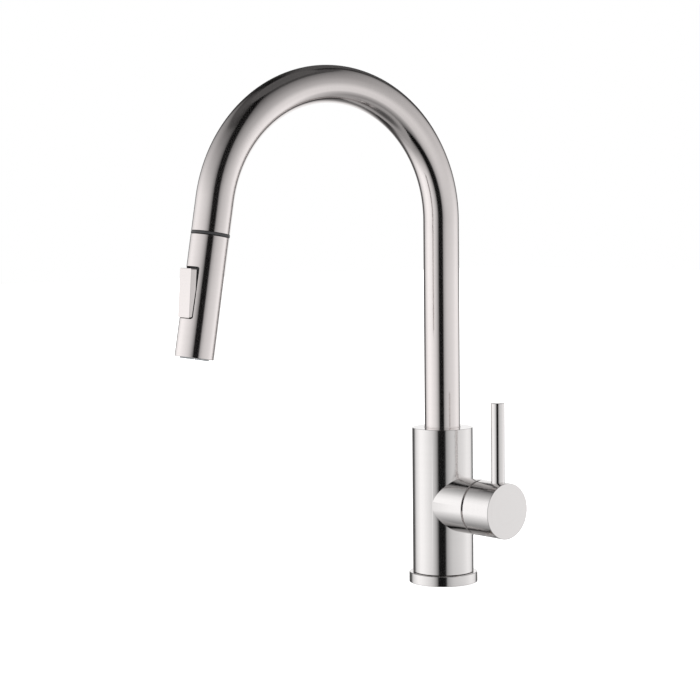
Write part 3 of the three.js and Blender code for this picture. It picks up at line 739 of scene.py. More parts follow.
def path_tube_tree() -> Tree:
    """A tube along a curve, with the grain stored and crossing strands raised on it when asked."""
    tree = Tree("path_tube", {
        "Radius": 0.01, "Sides": 64, "Strands": 0.0, "Pitch": 0.01, "Depth": 0.0,
        "Stretch": 0.0, "Stretch Start": 0.0, "Stretch End": 1.0,
    })
    graph = tree.graph
    radius, strands = tree.input("Radius"), tree.input("Strands")
    along = graph.value("GeometryNodeSplineParameter", "Length")
    extra = graph.value(
        "ShaderNodeMapRange", 0, {"interpolation_type": "SMOOTHSTEP"}, Value=along,
        From_Min=tree.input("Stretch Start"), From_Max=tree.input("Stretch End"),
        To_Min=0.0, To_Max=tree.input("Stretch"),
    )
    spine = tree.store(tree.input("Geometry"), "run", along + extra)
    factor = graph.value("GeometryNodeSplineParameter", "Factor")
    skin = tree.sweep(spine, tree.store(tree.circle(tree.input("Sides"), radius), "turn", factor))
    run = tree.stored("run")
    angle = tree.stored("turn") * (2 * math.pi)
    climb = run * (2 * math.pi) / tree.input("Pitch")
    weave = (angle * strands + climb).math("SINE").math("MAXIMUM", (angle * strands - climb).math("SINE"))
    normal = graph.value("GeometryNodeInputNormal", "Normal")
    lift = graph.value(
        "ShaderNodeVectorMath", 0, {"operation": "SCALE"}, Vector=normal, Scale=weave * tree.input("Depth"),
    )
    raised = graph.value("GeometryNodeSetPosition", 0, None, Geometry=skin, Offset=lift)
    grain = graph.combine(angle.math("COSINE") * radius, angle.math("SINE") * radius, run)
    tree.close(tree.store(raised, GRAIN, grain, "FLOAT_VECTOR"))
    return tree


def round_array_tree() -> Tree:
    """Tapered studs set at equal steps round a circle."""
    tree = Tree("round_array", {
        "Count": 12, "Ring Radius": 0.01, "Stud Radius": 0.001, "Tip Radius": 0.0005, "Stud Height": 0.002,
        "Turn": 0.0,
    })
    graph = tree.graph
    spots = graph.value(
        "GeometryNodeMeshCircle", 0, None, Vertices=tree.input("Count"), Radius=tree.input("Ring Radius"),
    )
    cone = graph.value(
        "GeometryNodeMeshCone", 0, None, Vertices=14, Side_Segments=2, Radius_Top=tree.input("Stud Radius"),
        Radius_Bottom=tree.input("Tip Radius"), Depth=tree.input("Stud Height"),
    )
    studs = graph.value("GeometryNodeInstanceOnPoints", 0, None, Points=spots, Instance=cone)
    turn = graph.combine(0.0, 0.0, tree.input("Turn"))
    tree.close(graph.value("GeometryNodeTransform", 0, None, Geometry=studs, Rotation=turn))
    return tree


def helix_tree() -> Tree:
    """A screw thread: a small ridge that climbs round a cylinder."""
    tree = Tree("screw_thread", {"Radius": 0.01, "Pitch": 0.0015, "Height": 0.02, "Ridge": 0.0005})
    radius, height = tree.input("Radius"), tree.input("Height")
    spiral = tree.graph.value(
        "GeometryNodeCurveSpiral", 0, None, Resolution=72, Rotations=height / tree.input("Pitch"),
        Start_Radius=radius, End_Radius=radius, Height=height,
    )
    tree.close(tree.sweep(spiral, tree.circle(6, tree.input("Ridge"))))
    return tree


def gauze_tree() -> Tree:
    """A square wire gauze, trimmed to a disc."""
    tree = Tree("wire_gauze", {"Radius": 0.005, "Lines": 12, "Wire": 0.0001})
    graph = tree.graph
    radius, lines = tree.input("Radius"), tree.input("Lines")
    grid = graph.value(
        "GeometryNodeMeshGrid", 0, None, Size_X=radius * 2.0, Size_Y=radius * 2.0, Vertices_X=lines,
        Vertices_Y=lines,
    )
    x, y, _ = graph.split(graph.value("GeometryNodeInputPosition", 0))
    outside = (x * x + y * y).math("SQRT").math("GREATER_THAN", radius)
    disc = graph.value(
        "GeometryNodeDeleteGeometry", 0, {"domain": "POINT"}, Geometry=grid, Selection=outside,
    )
    wires = graph.value("GeometryNodeMeshToCurve", 0, None, Mesh=disc)
    tree.close(tree.sweep(wires, tree.circle(5, tree.input("Wire"))))
    return tree


# ------------------------------------------------------------------------------- the faucet's frames
def joint(name: str) -> dict:
    """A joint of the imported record, by name."""
    return next(j for j in frame["joints"] if j["name"] == name)


@dataclass(frozen=True)
class Layout:
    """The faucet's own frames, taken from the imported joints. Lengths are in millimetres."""

    dock: Vector
    dock_axis: Vector
    hub_height: float
    riser_top: float = 284.2
    arc_radius: float = 102.0
    dock_run: float = 25.5

    @classmethod
    def from_frame(cls) -> "Layout":
        """Reads the layout from the joints."""
        return cls(
            dock=Vector(joint("head_spin")["pos_m"]),
            dock_axis=Vector(joint("hose_pull")["axis"]).normalized(),
            hub_height=joint("handle_flow")["pos_m"][2] / MM,
        )

    @property
    def tilt(self) -> float:
        """How far the dock axis leans outward from straight down, in radians."""
        return math.acos(-self.dock_axis.z)

    @property
    def heading(self) -> float:
        """The gooseneck's direction round Z, in radians from +X."""
        return math.atan2(self.dock.y, self.dock.x)

    @property
    def column(self) -> Matrix:
        """The column's frame is the row's."""
        return Matrix.Identity(4)

    @property
    def hub(self) -> Matrix:
        """Turned pieces of the hub: local Z runs along +X."""
        return offset(z=self.hub_height) @ Matrix.Rotation(math.pi / 2, 4, "Y")

    @property
    def spout(self) -> Matrix:
        """Local X runs outward in the gooseneck's plane."""
        return Matrix.Rotation(self.heading, 4, "Z")

    @property
    def head(self) -> Matrix:
        """Local Z runs up the dock axis and local X looks outward, with the origin in the dock ring."""
        lean = Matrix.Rotation(-self.tilt, 4, "Y")
        return Matrix.Translation(self.dock) @ self.spout @ lean

    def spine(self, foot: float, run: float, arc_steps: int) -> list[Vector]:
        """The gooseneck's centre line from a height up the riser, round the arc and down its last straight.

        Args:
            foot: Where it starts, in millimetres above the deck.
            run: The length of straight tube after the arc.
            arc_steps: Steps round the arc.

        Returns:
            Points in the spout's local frame, in metres.
        """
        sweep = math.pi - self.tilt
        line = [Vector((0, 0, foot + (self.riser_top - foot) * k / 12)) for k in range(12)]
        for k in range(arc_steps + 1):
            a = sweep * k / arc_steps
            line.append(Vector((
                self.arc_radius * (1 - math.cos(a)), 0, self.riser_top + self.arc_radius * math.sin(a),
            )))
        last = line[-1]
        down = Vector((math.sin(self.tilt), 0, -math.cos(self.tilt)))
        line += [last + down * (run * k / 4) for k in range(1, 5)]
        return [p * MM for p in line]


def refined(points: Sequence[Vector], near: float, fine: float, coarse: float) -> list[Vector]:
    """Adds points along a line.

    Args:
        points: The line's points.
        near: How far from its last point the line is finely stepped.
        fine: The longest step there.
        coarse: The longest step before that.

    Returns:
        The finer line.
    """
    tail = points[-1]
    line: list[Vector] = []
    for a, b in zip(points, points[1:]):
        parts = max(1, math.ceil((b - a).length / (fine if (tail - b).length < near else coarse)))
        line += [a.lerp(b, k / parts) for k in range(parts)]
    return [*line, tail]


def curve_object(name: str, points: Sequence[Vector]) -> bpy.types.Object:
    """A poly curve through points."""
    curve = bpy.data.curves.new(name, "CURVE")
    curve.dimensions = "3D"
    spline = curve.splines.new("POLY")
    spline.points.add(len(points) - 1)
    for point, place in zip(spline.points, points):
        point.co = (*place, 1.0)
    piece = bpy.data.objects.new(name, curve)
    bpy.context.scene.collection.objects.link(piece)
    return piece


# ------------------------------------------------------------------------------- sub-assemblies
@dataclass
class Column:
    """The column shell with its side hub, the flange under it and the dome behind the cap."""

    layout: Layout
    bench: Bench
    radius: float = 24.0
    bore: float = 21.5
    top: float = 122.0
    floor_gap: float = 8.3
    floor_top: float = 12.3
    plate: float = 116.0
    hub_radius: float = 21.5
    hub_bore: float = 19.3
    hub_end: float = 42.4
    screw_height: float = 107.0

    def build(self) -> None:
        """Builds the pieces that are fixed to the deck and show above it."""
        self.shell()
        self.flange()
        self.seam_ring()
        self.dome()
        self.retaining_screw()

    def shell(self) -> None:
        """Column and hub as one thin-walled shell, with the hub's crisp meeting line."""
        column = revolve("body_shell", [
            (0, self.floor_gap), (self.radius, self.floor_gap, 0.25), (self.radius, self.top, 0.35),
            (0, self.top),
        ], 224)
        hub = revolve("hub", [
            (0, 0), (self.hub_radius, 0), (self.hub_radius, self.hub_end, 0.35), (0, self.hub_end),
        ], 200)
        carve(column, [move(hub, self.layout.hub)], "UNION")
        neck_hole = revolve("neck_hole", [
            (0, 110), (14.35, 110), (14.35, 121.75), (14.75, 122.4), (0, 122.4),
        ], 128)
        carve(column, [
            cylinder("hollow", self.bore, self.floor_top, self.plate, 96),
            move(cylinder("hub_hollow", self.hub_bore, 0, 60, 96), self.layout.hub),
            cylinder("shank_hole", 16.8, 0, 20, 64),
            neck_hole,
            move(cylinder("screw_hole", 2.5, 0, 40, 32), self.screw_place),
        ])
        to_hub = self.layout.hub.inverted()

        def surface(centre: Vector, normal: Vector) -> Matrix:
            """Hub faces are turned about the hub's axis, the others about the column's."""
            local = to_hub @ centre
            reach = math.hypot(centre.x, centre.y)
            in_hub = math.hypot(local.x, local.y) < (self.hub_radius + 0.1) * MM
            looks_out = abs(normal.x * centre.x + normal.y * centre.y) > 0.98 * reach
            on_wall = reach > (self.radius - 0.3) * MM and looks_out
            on_hub = local.z > self.bore * 0.6 * MM and in_hub and not on_wall
            return to_hub if on_hub else Matrix.Identity(4)

        self.bench.finish(column, self.layout.column, "body", "nickel", Slot.NICKEL, ["body_shell"], surface)

    @property
    def screw_place(self) -> Matrix:
        """Looks out of the column's back, at the retaining screw's height."""
        return offset(z=self.screw_height) @ ON_SIDE

    def flange(self) -> None:
        """Escutcheon ring with a soft top edge and an undercut for the gasket."""
        _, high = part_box("base_flange")
        radius, height = high.x / MM, high.z / MM
        ring = revolve("base_flange", [
            (16.9, 1.8), (24, 1.8), (24, 0), (radius, 0, 0.3), (radius, height, 0.9), (16.9, height),
        ], 224)
        self.bench.finish(ring, self.layout.column, "body", "polished", Slot.NICKEL, ["base_flange"])
        gasket = revolve("base_gasket", [(17.2, 0), (23.6, 0, 0.3), (23.6, 1.5, 0.3), (17.2, 1.5)], 96)
        self.bench.finish(gasket, self.layout.column, "body", "rubber", Slot.RUBBER, ["base_gasket"])

    def seam_ring(self) -> None:
        """Thin dark wiper that fills the gap between the gooseneck and the column's top plate."""
        wiper = revolve("neck_wiper", [
            (14.08, 119.5), (14.3, 119.5), (14.3, 121.7, 0.05), (14.08, 121.9, 0.05),
        ], 128)
        self.bench.finish(wiper, self.layout.column, "body", "rubber", Slot.RUBBER)

    def dome(self) -> None:
        """Domed trim ring over the cartridge nut."""
        bulge, wall, rim = 33.7, 1.1, 18.9
        centre = 41.0 - math.sqrt(bulge ** 2 - rim ** 2)
        outer = [(r, centre + math.sqrt(bulge ** 2 - r * r)) for r in (rim, 17.6, 16.3, 15.0, 13.6)]
        inner = [(r, centre - wall + math.sqrt(bulge ** 2 - r * r)) for r in (13.6, 15.0, 16.3, 17.4)]
        ring = revolve("dome_cover", [*outer, *inner, (17.6, 40.8), (rim, 40.8)], 128)
        # The dome's dark nickel is painted shade, standing for the shade in the gap behind the cap.
        self.bench.finish(ring, self.layout.hub, "body", "cover", Slot.NICKEL, ["dome_cover"])

    def retaining_screw(self) -> None:
        """Headless screw in the column's back that keeps the gooseneck from lifting."""
        screw = revolve("spout_retaining_screw", [
            (0, 16.3), (1.2, 16.3), (2.1, 17.2), (2.1, 23.2, 0.2), (0, 23.2),
        ], 48)
        carve(screw, [prism("key", polygon(6, 1.15), 20.6, 24)])
        self.bench.finish(screw, self.screw_place, "body", "steel", Slot.STEEL, ["spout_retaining_screw"])


@dataclass
class Lever:
    """The cap on the hub, with the socket for the stem, its pin, set screw and indicator plug."""

    layout: Layout
    bench: Bench
    radius: float = 21.5
    start: float = 44.3
    end: float = 71.1
    tilt_at: float = 21.0
    clear: float = 30.75
    pin_at: float = 61.15
    pin_radius: float = 5.25
    pin_top: float = 145.2
    seat: float = 19.7
    stem_end: float = 60.0
    screw_at: float = 56.0

    def build(self) -> None:
        """Builds the pieces that tilt and turn with the lever."""
        self.cap()
        self.pin()
        self.plug()

    def upright(self, x: float) -> Matrix:
        """A frame whose Z runs up through the hub's axis, at a distance along it."""
        return offset(x, 0, self.layout.hub_height)

    def cap(self) -> None:
        """Cylindrical cap, hollow inside a sphere about the tilt pin, with a flat end."""
        depth = math.acos((self.start - self.tilt_at) / self.clear)
        steps = 20
        turns = [depth * (1 - k / steps) for k in range(steps)]
        outline = [
            *((self.clear * math.sin(a), self.tilt_at + self.clear * math.cos(a)) for a in turns),
            (0, self.tilt_at + self.clear), (0, self.end), (self.radius, self.end, 0.4),
            (self.radius, self.start, 0.12),
        ]
        cap = move(revolve("handle_cap", outline, 224), self.layout.hub)
        socket = prism("socket", rectangle(-3.8, -3.8, 3.8, 3.8), self.start, self.stem_end + 0.4)
        pocket = cylinder("pocket", self.pin_radius + 0.1, self.seat, 30, 96)
        stud = cylinder("stud", 3.3, 8.4, 21, 48)
        key = revolve("key", [(0, -30), (3.1, -30), (3.1, -18.6), (2.5, -18.6), (2.5, -3.4), (0, -3.4)], 48)
        tools = [move(socket, self.layout.hub)]
        tools += [move(tool, self.upright(x)) for tool, x in (
            (pocket, self.pin_at), (stud, self.pin_at), (key, self.screw_at),
        )]
        carve(cap, tools)
        move(cap, self.layout.hub.inverted())
        self.bench.finish(cap, self.layout.hub, "lever", "nickel", Slot.NICKEL, ["handle_cap"])

    def pin(self) -> None:
        """Plain round pin with a softened tip, screwed into the cap."""
        foot, tip = self.seat + 0.3, self.pin_top - self.layout.hub_height
        pin = revolve("lever_pin", [
            (0, 9), (3, 9), (3, foot), (self.pin_radius, foot), (self.pin_radius, tip, 0.55), (0, tip),
        ], 128)
        self.bench.finish(pin, self.upright(self.pin_at), "lever", "nickel", Slot.NICKEL, ["lever_pin"])

    def plug(self) -> None:
        """Set screw under the cap and the small plug that covers it."""
        place = self.upright(self.screw_at)
        screw = revolve("handle_set_screw", [
            (0, -18.2), (2.15, -18.2, 0.2), (2.15, -5), (1.4, -4.2), (0, -4.2),
        ], 48)
        carve(screw, [prism("key", polygon(6, 1.2), -19, -15)])
        self.bench.finish(screw, place, "lever", "steel", Slot.STEEL, ["handle_set_screw"])
        plug = revolve("indicator_plug", [(0, -21.3), (2.9, -21.2, 0.5), (2.9, -18.9), (0, -18.9)], 64)
        self.bench.finish(plug, place, "lever", "enamel", Slot.ENAMEL, ["indicator_plug"])


@dataclass
class Gooseneck:
    """The bent tube, the dark dock ring at its end and the hose inside it."""

    layout: Layout
    bench: Bench
    tubes: Tree
    radius: float = 14.0
    wall: float = 1.5
    foot: float = 115.6
    run: float = 24.3
    hose_radius: float = 5.5
    hose_foot: float = 112.3
    tuck: float = 2.4
    stretch_from: float = 52.0
    stretch_to: float = 4.0
    lap: float = 4.0
    pull: float = 150.0

    def build(self) -> None:
        """Builds the pieces that swivel with the gooseneck."""
        self.tube()
        self.dock_collar()
        self.hose()

    def tube(self) -> None:
        """Thin-walled tube: a skin along the centre line, thickened inward."""
        spine = self.layout.spine(self.foot, self.run, 150)
        # The tube takes the nickel copy with the darker, pinker painted-light tone.
        skin = self.tubes.apply(curve_object("spout_tube", spine), {
            "Radius": self.radius * MM, "Sides": 128, "Material": finish("painted_light_nickel"),
        })
        self.open_ends(skin)
        wall = skin.modifiers.new("wall", "SOLIDIFY")
        wall.thickness = self.wall * MM
        wall.offset = -1.0
        settle(skin)
        skin.data.shade_smooth()
        skin.data.set_sharp_from_angle(angle=math.radians(40))
        label(skin)
        move(skin, self.layout.spout)
        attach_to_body(skin, "spout")
        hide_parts("spout_tube")
        self.bench.dress(skin, "painted_light_nickel", Slot.NICKEL)

    @staticmethod
    def open_ends(skin: bpy.types.Object) -> None:
        """Takes the two end caps off a capped tube, and turns its faces outward."""
        work = bmesh.new()
        work.from_mesh(skin.data)
        caps = [f for f in work.faces if len(f.verts) > 4]
        bmesh.ops.delete(work, geom=caps, context="FACES_ONLY")
        bmesh.ops.remove_doubles(work, verts=work.verts, dist=1e-7)
        bmesh.ops.recalc_face_normals(work, faces=work.faces)
        work.to_mesh(skin.data)
        work.free()

    def dock_collar(self) -> None:
        """Dark ring with a sleeve inside the tube that guides the head home."""
        collar = revolve("dock_collar", [
            (10.1, -0.9, 0.3), (self.radius + 0.05, -0.9, 0.25), (self.radius + 0.05, 0.9, 0.25), (12.1, 0.9),
            (12.1, 20, 0.4), (10.8, 20), (10.1, 18.5),
        ], 160)
        self.bench.finish(collar, self.layout.head, "spout", "dark", Slot.DARK, ["dock_collar"])

    def hose(self) -> None:
        """Braided hose in two lengths: a guide that stays in the gooseneck and a reach at the dock end.

        The real hose would slide. The reach's points and braid are laid out for the pulled-out length, so the
        braid is even where it shows.
        """
        mouth, axis = self.layout.dock, self.layout.dock_axis
        line = self.layout.spine(self.hose_foot, self.layout.dock_run - self.tuck, 260)
        line = refined(line, (self.stretch_from + self.lap) * MM, 0.25 * MM, 1.5 * MM)
        split = next(k for k, p in enumerate(line) if (line[-1] - p).length < self.stretch_from * MM)
        guide = self.hose_length("hose_guide", line[:split], {})
        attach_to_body(guide, "spout")
        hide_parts("hose_upper")
        length = sum((b - a).length for a, b in zip(line[split:], line[split + 1:]))
        reach = self.hose_length("hose_reach", line[split:], {
            "Stretch": self.pull * MM, "Stretch Start": length - (self.stretch_from - self.tuck) * MM,
            "Stretch End": length - (self.stretch_to - self.tuck) * MM,
        })
        start, end = (mouth - axis * (far * MM) for far in (self.stretch_from - self.lap, self.stretch_to))
        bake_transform(reach)

    def hose_length(self, name: str, line: Sequence[Vector], stretch: dict[str, float]) -> bpy.types.Object:
        """One length of braided hose.

        Args:
            name: The piece's name.
            line: Its centre line in the spout's frame.
            stretch: How its braid is laid out, as inputs of the tube's tree.

        Returns:
            The piece, in place and dressed.
        """
        hose = self.tubes.apply(curve_object(name, line), {
            "Radius": (self.hose_radius - 0.12) * MM, "Sides": 48, "Strands": 6.0, "Pitch": 9 * MM,
            "Depth": 0.12 * MM, "Material": finish("braid"), **stretch,
        })
        move(hose, self.layout.spout)
        hose.data.shade_smooth()
        return self.bench.dress(hose, "braid", Slot.BRAID)


@dataclass
class SprayHead:
    """The pull-down head: shell, core, rocker button and the outlet end."""

    layout: Layout
    bench: Bench
    studs: Tree
    gauze: Tree
    length: float = 89.6
    top_radius: float = 14.0
    end_radius: float = 14.3
    bore: float = 12.6
    rocker_drop: float = 43.7
    pivot_x: float = 7.5
    rest_turn: float = math.radians(5.4)
    half_length: float = 17.7
    face_x: float = 14.9
    slot_half: float = 18.8
    slot_width: float = 9.3

    def build(self) -> None:
        """Builds the head's visible pieces."""
        self.shell()
        self.core()
        self.rocker()
        self.outlet()
        self.ferrule()

    def opening(self, half_width: float, spare: float, x0: float, corner: float) -> bpy.types.Object:
        """A rounded rectangular cutter for the rocker's window, looking outward along local X.

        Args:
            half_width: Half its width.
            spare: How much longer it is than the window, at each end.
            x0: Where it starts from the head's axis.
            corner: Its corners' radius.

        Returns:
            The cutter.
        """
        bottom = -self.rocker_drop - self.slot_half - spare
        top = -self.rocker_drop + self.slot_half + spare
        cutter = prism("opening", rectangle(-half_width, bottom, half_width, top, corner), x0, 24)
        return move(cutter, Matrix(((0, 0, 1, 0), (1, 0, 0, 0), (0, 1, 0, 0), (0, 0, 0, 1))))

    def shell(self) -> None:
        """Outer shell with the rocker's window."""
        shell = revolve("spray_shell", [
            (10.2, -1.3), (self.top_radius, -1.3, 0.35), (self.top_radius, -20), (self.end_radius, -70),
            (self.end_radius, -self.length, 0.45), (self.bore, -self.length, 0.3), (self.bore, -2.7),
            (10.2, -2.7),
        ], 224)
        carve(shell, [self.opening(self.slot_width, 0, 4, 1.5)])
        # The shell takes the nickel copy with the darker, pinker painted-light tone.
        self.bench.finish(shell, self.layout.head, "spray_head", "painted_light_nickel", Slot.NICKEL, ["spray_shell"])

    def core(self) -> None:
        """Moulded waterway with the nose that enters the dock and the pocket under the rocker."""
        core = revolve("spray_core", [
            (0, -80), (12.2, -80, 0.3), (12.2, -79), (11.1, -78.6), (11.1, -76.4), (12.2, -76), (12.2, -3.2),
            (9.7, -3.2, 0.3), (9.7, 11.5), (9.2, 13, 0.4), (0, 13),
        ], 96)
        steps = ((7.8, -11.9, 14), (5.9, -19.8, -11), (4.9, -33, -19), (3.2, -61, -32), (8, -81, -60))
        bores = [cylinder("bore", radius, low, high, 64) for radius, low, high in steps]
        finger = prism(
            "finger", rectangle(1, -4.4, 9, 4.4), -self.rocker_drop - 4.4, -self.rocker_drop + 5.2,
        )
        carve(core, [*bores, self.opening(self.slot_width - 0.2, 0.1, 7.9, 1), finger])
        self.bench.finish(core, self.layout.head, "spray_head", "core", Slot.GREY, ["spray_core"])

    def rocker(self) -> None:
        """Rocker button: a flat face on flared sides, with every outer edge softened."""
        base, face = 3.2, self.face_x - self.pivot_x
        half_face, half_base, long = 8.2, 8.5, self.half_length
        corner, edge = 1.1, 0.35
        foot = rounded(rectangle(-half_base, -long, half_base, long, corner), FILLET_STEPS)
        crown = rounded(rectangle(-half_face, -long, half_face, long, corner), FILLET_STEPS)
        levels = [(foot, base, 0.0), (crown, face - edge, 0.0)]
        for a in (0.5, 1.05, math.pi / 2):
            levels.append((crown, face - edge + edge * math.sin(a), edge * (1 - math.cos(a))))
        vertices, faces = [], []
        for outline, height, inset in levels:
            shrink_y, shrink_z = 1 - inset / half_face, 1 - inset / long
            vertices += [(height * MM, y * shrink_y * MM, z * shrink_z * MM) for y, z in outline]
        count = len(foot)
        for level in range(len(levels) - 1):
            for i in range(count):
                n = (i + 1) % count
                a, b = level * count, (level + 1) * count
                faces.append([a + i, a + n, b + n, b + i])
        faces.append(list(range(count))[::-1])
        faces.append([(len(levels) - 1) * count + i for i in range(count)])
        button = mesh_object("rocker_button", vertices, faces)
        lug = prism("lug", [(-2.2, -2.4), (base + 0.5, -3.4), (base + 0.5, 3.4), (-2.2, 2.4)], -4, 4)
        move(lug, Matrix(((1, 0, 0, 0), (0, 0, 1, 0), (0, -1, 0, 0), (0, 0, 0, 1))))
        finger = prism("finger", rectangle(-5.1, -0.9, -2, 0.9), -1.1, 1.1)
        carve(button, [lug, finger], "UNION")
        carve(button, [move(cylinder("hole", 1.35, -5, 5, 24), ON_SIDE)])
        at = self.layout.head @ offset(self.pivot_x, 0, -self.rocker_drop)
        turned = at @ Matrix.Rotation(self.rest_turn, 4, "Y")
        # The rocker takes the nickel copy with the darker, pinker painted-light tone.
        self.bench.finish(button, turned, "rocker", "painted_light_nickel", Slot.NICKEL, ["rocker_button"])
        pin = revolve("rocker_pin", [(0, -8.6), (1, -8.6, 0.2), (1, 8.6, 0.2), (0, 8.6)], 32)
        move(pin, ON_SIDE)
        self.bench.finish(pin, at, "spray_head", "steel", Slot.STEEL, ["rocker_pin"])

    def outlet(self) -> None:
        """Outlet end: face ring, soft nozzles in two rounds and the aerator with its gauze."""
        ring = revolve("spray_face", [
            (6.3, -88.9, 0.2), (6.3, -80.4), (12.2, -80.4), (12.2, -89.1, 0.3), (11.5, -89.3, 0.2),
            (11.5, -86.4), (6.8, -86.4), (6.8, -88.9, 0.2),
        ], 128)
        self.bench.finish(ring, self.layout.head, "spray_head", "dark", Slot.DARK, ["spray_face"])
        pad = revolve("nozzle_ring", [
            (7.1, -86.7), (11.2, -86.7), (11.2, -89.3, 0.3), (7.1, -89.3, 0.3),
        ], 128)
        parts = []
        for label, count, radius, turn in (("outer", 20, 9.9, 0.0), ("inner", 14, 8.1, 0.2)):
            studs = self.studs.apply(mesh_object(f"nozzles_{label}", [], []), {
                "Count": count, "Ring Radius": radius * MM, "Stud Radius": 0.6 * MM, "Tip Radius": 0.85 * MM,
                "Stud Height": 2.0 * MM, "Turn": turn, "Material": finish("silicone"),
            })
            parts.append(move(studs, offset(z=-88.6) @ Matrix.Rotation(math.pi, 4, "X")))
        merge(pad, parts)
        self.bench.finish(pad, self.layout.head, "spray_head", "silicone", Slot.SILICONE, ["nozzle_ring"])
        cup = revolve("aerator", [
            (0, -87.4), (4.6, -87.4), (4.6, -89.2, 0.2), (5.9, -89.2, 0.3), (5.9, -81), (4.4, -81),
            (4.4, -84), (0, -84),
        ], 96)
        gauze = self.gauze.apply(mesh_object("aerator_gauze", [], []), {
            "Radius": 4.5 * MM, "Lines": 15, "Wire": 0.09 * MM, "Material": finish("steel"),
        })
        self.bench.finish(cup, self.layout.head, "spray_head", "white", Slot.WHITE, ["aerator"])
        move(gauze, offset(z=-88.0))
        self.bench.finish(gauze, self.layout.head, "spray_head", "steel", Slot.STEEL)

    def ferrule(self) -> None:
        """Crimped ferrule on the hose's end, with the stem that the head turns on."""
        outer, waist = 7.4, 7.05
        crimps = [
            (outer, 3.2), (waist, 3.8), (waist, 5.0), (outer, 5.6), (outer, 7.0), (waist, 7.6), (waist, 8.8),
            (outer, 9.4), (outer, 10.6),
        ]
        ferrule = revolve("hose_ferrule", [
            (2.4, -19), (4.2, -19), (4.2, -18.2), (3.5, -18.2), (3.5, -16.2), (4.2, -16.2), (4.2, -15.2),
            (5.6, -15.2), (5.6, -12.2), (4.2, -12.2), (4.2, -2.4), (outer, -2.4, 0.3), *crimps,
            (outer, 12, 0.3), (5.8, 12), (5.8, 1.6), (2.4, 1.6),
        ], 96)
        self.bench.finish(ferrule, self.layout.head, "hose_end", "brass", Slot.BRASS, ["hose_ferrule"])


def merge(piece: bpy.types.Object, others: Sequence[bpy.types.Object]) -> None:
    """Adds other meshes to a piece's mesh, as they lie, and removes them."""
    work = bmesh.new()
    work.from_mesh(piece.data)
    for other in others:
        work.from_mesh(other.data)
        bpy.data.objects.remove(other)
    work.to_mesh(piece.data)
    work.free()


@dataclass
class UnderDeck:
    """Threaded shank, washers, nut and clamp screws below the deck."""

    layout: Layout
    bench: Bench
    threads: Tree
    shank_end: float = -48.0
    washer_bore: float = 16.4
    deck: float = 20.0
    nut_top: float = -25.6
    screw_offset: float = 20.9

    def build(self) -> None:
        """Builds the pieces that clamp the faucet to the deck."""
        self.shank()
        self.washers()
        self.nut()
        for name, side in (("nut_clamp_screw_1", -1), ("nut_clamp_screw_2", 1)):
            self.clamp_screw(name, side)

    def thread(
        self, radius: float, pitch: float, height: float, ridge: float, foot: float,
    ) -> bpy.types.Object:
        """A thread's ridge about the local Z axis.

        Args:
            radius: The ridge's centre line, in millimetres.
            pitch: Height of one turn.
            height: Height of the thread.
            ridge: The ridge's own radius.
            foot: Where it starts.

        Returns:
            The ridge's mesh object.
        """
        turns = self.threads.apply(mesh_object("thread", [], []), {
            "Radius": radius * MM, "Pitch": pitch * MM, "Height": height * MM, "Ridge": ridge * MM,
            "Material": finish("brass"),
        })
        return move(turns, offset(z=foot))

    def shank(self) -> None:
        """Threaded shank with the collar that the column's floor sits on."""
        end = self.shank_end
        shank = revolve("mounting_shank", [
            (13.5, end), (15.2, end, 0.2), (15.6, end + 1), (15.6, 12.6), (20.8, 12.6), (20.8, 16.6, 0.4),
            (13.5, 16.6),
        ], 128)
        merge(shank, [self.thread(15.55, 2.0, 44, 0.42, end + 2)])
        self.bench.finish(shank, self.layout.column, "body", "brass", Slot.BRASS, ["mounting_shank"])

    def washers(self) -> None:
        """Rubber washer against the deck and the steel washer under it."""
        bore, deck = self.washer_bore, self.deck
        soft = revolve("deck_rubber_washer", [
            (bore, -deck - 3, 0.3), (26, -deck - 3, 0.6), (26, -deck, 0.6), (bore, -deck, 0.3),
        ], 128)
        self.bench.finish(soft, self.layout.column, "body", "rubber", Slot.RUBBER, ["deck_rubber_washer"])
        hard = revolve("deck_steel_washer", [
            (bore, -deck - 5, 0.1), (25, -deck - 5, 0.3), (25, -deck - 3.3, 0.3), (bore, -deck - 3.3, 0.1),
        ], 128)
        self.bench.finish(hard, self.layout.column, "body", "steel", Slot.STEEL, ["deck_steel_washer"])

    def nut(self) -> None:
        """Hexagon nut with chamfered corners and a round flange for the clamp screws."""
        top = self.nut_top
        nut = prism("mounting_nut", polygon(6, 22.5), top - 14, top - 4.5)
        chamfer = revolve("chamfer", [
            (0, top - 14), (20.4, top - 14), (22.6, top - 12.8), (22.6, top - 4), (0, top - 4),
        ], 96)
        carve(nut, [chamfer], "INTERSECT")
        flange = revolve("flange", [(0, top - 5), (25, top - 5, 0.5), (25, top, 0.4), (0, top)], 128)
        carve(nut, [flange], "UNION")
        tools = [cylinder("bore", 16.3, top - 20, top + 1, 96)]
        for side in (-1, 1):
            for radius, low, high in ((2.4, top - 6, top + 1), (4.1, top - 15, top - 5)):
                tools.append(move(cylinder("hole", radius, low, high, 40), offset(side * self.screw_offset)))
        carve(nut, tools)
        self.bench.finish(nut, self.layout.column, "body", "brass", Slot.BRASS, ["mounting_nut"])

    def clamp_screw(self, name: str, side: int) -> None:
        """Pan-headed screw with a cross slot, pointing up.

        Args:
            name: The CAD node that it stands for.
            side: -1 or 1, along X.
        """
        tip = self.nut_top + 0.2
        screw = revolve(name, [
            (0, tip - 19), (3.4, tip - 19, 0.5), (3.6, tip - 18.3, 0.3), (3.6, tip - 16, 0.2),
            (1.75, tip - 16), (1.75, tip - 0.6), (1.3, tip), (0, tip),
        ], 48)
        bars = (rectangle(-2.4, -0.4, 2.4, 0.4), rectangle(-0.4, -2.4, 0.4, 2.4))
        carve(screw, [prism("slot", bar, tip - 20, tip - 17.6) for bar in bars])
        merge(screw, [self.thread(1.75, 0.8, 14.4, 0.2, tip - 15.4)])
        place = offset(side * self.screw_offset)
        self.bench.finish(screw, place, "body", "steel", Slot.STEEL, [name])


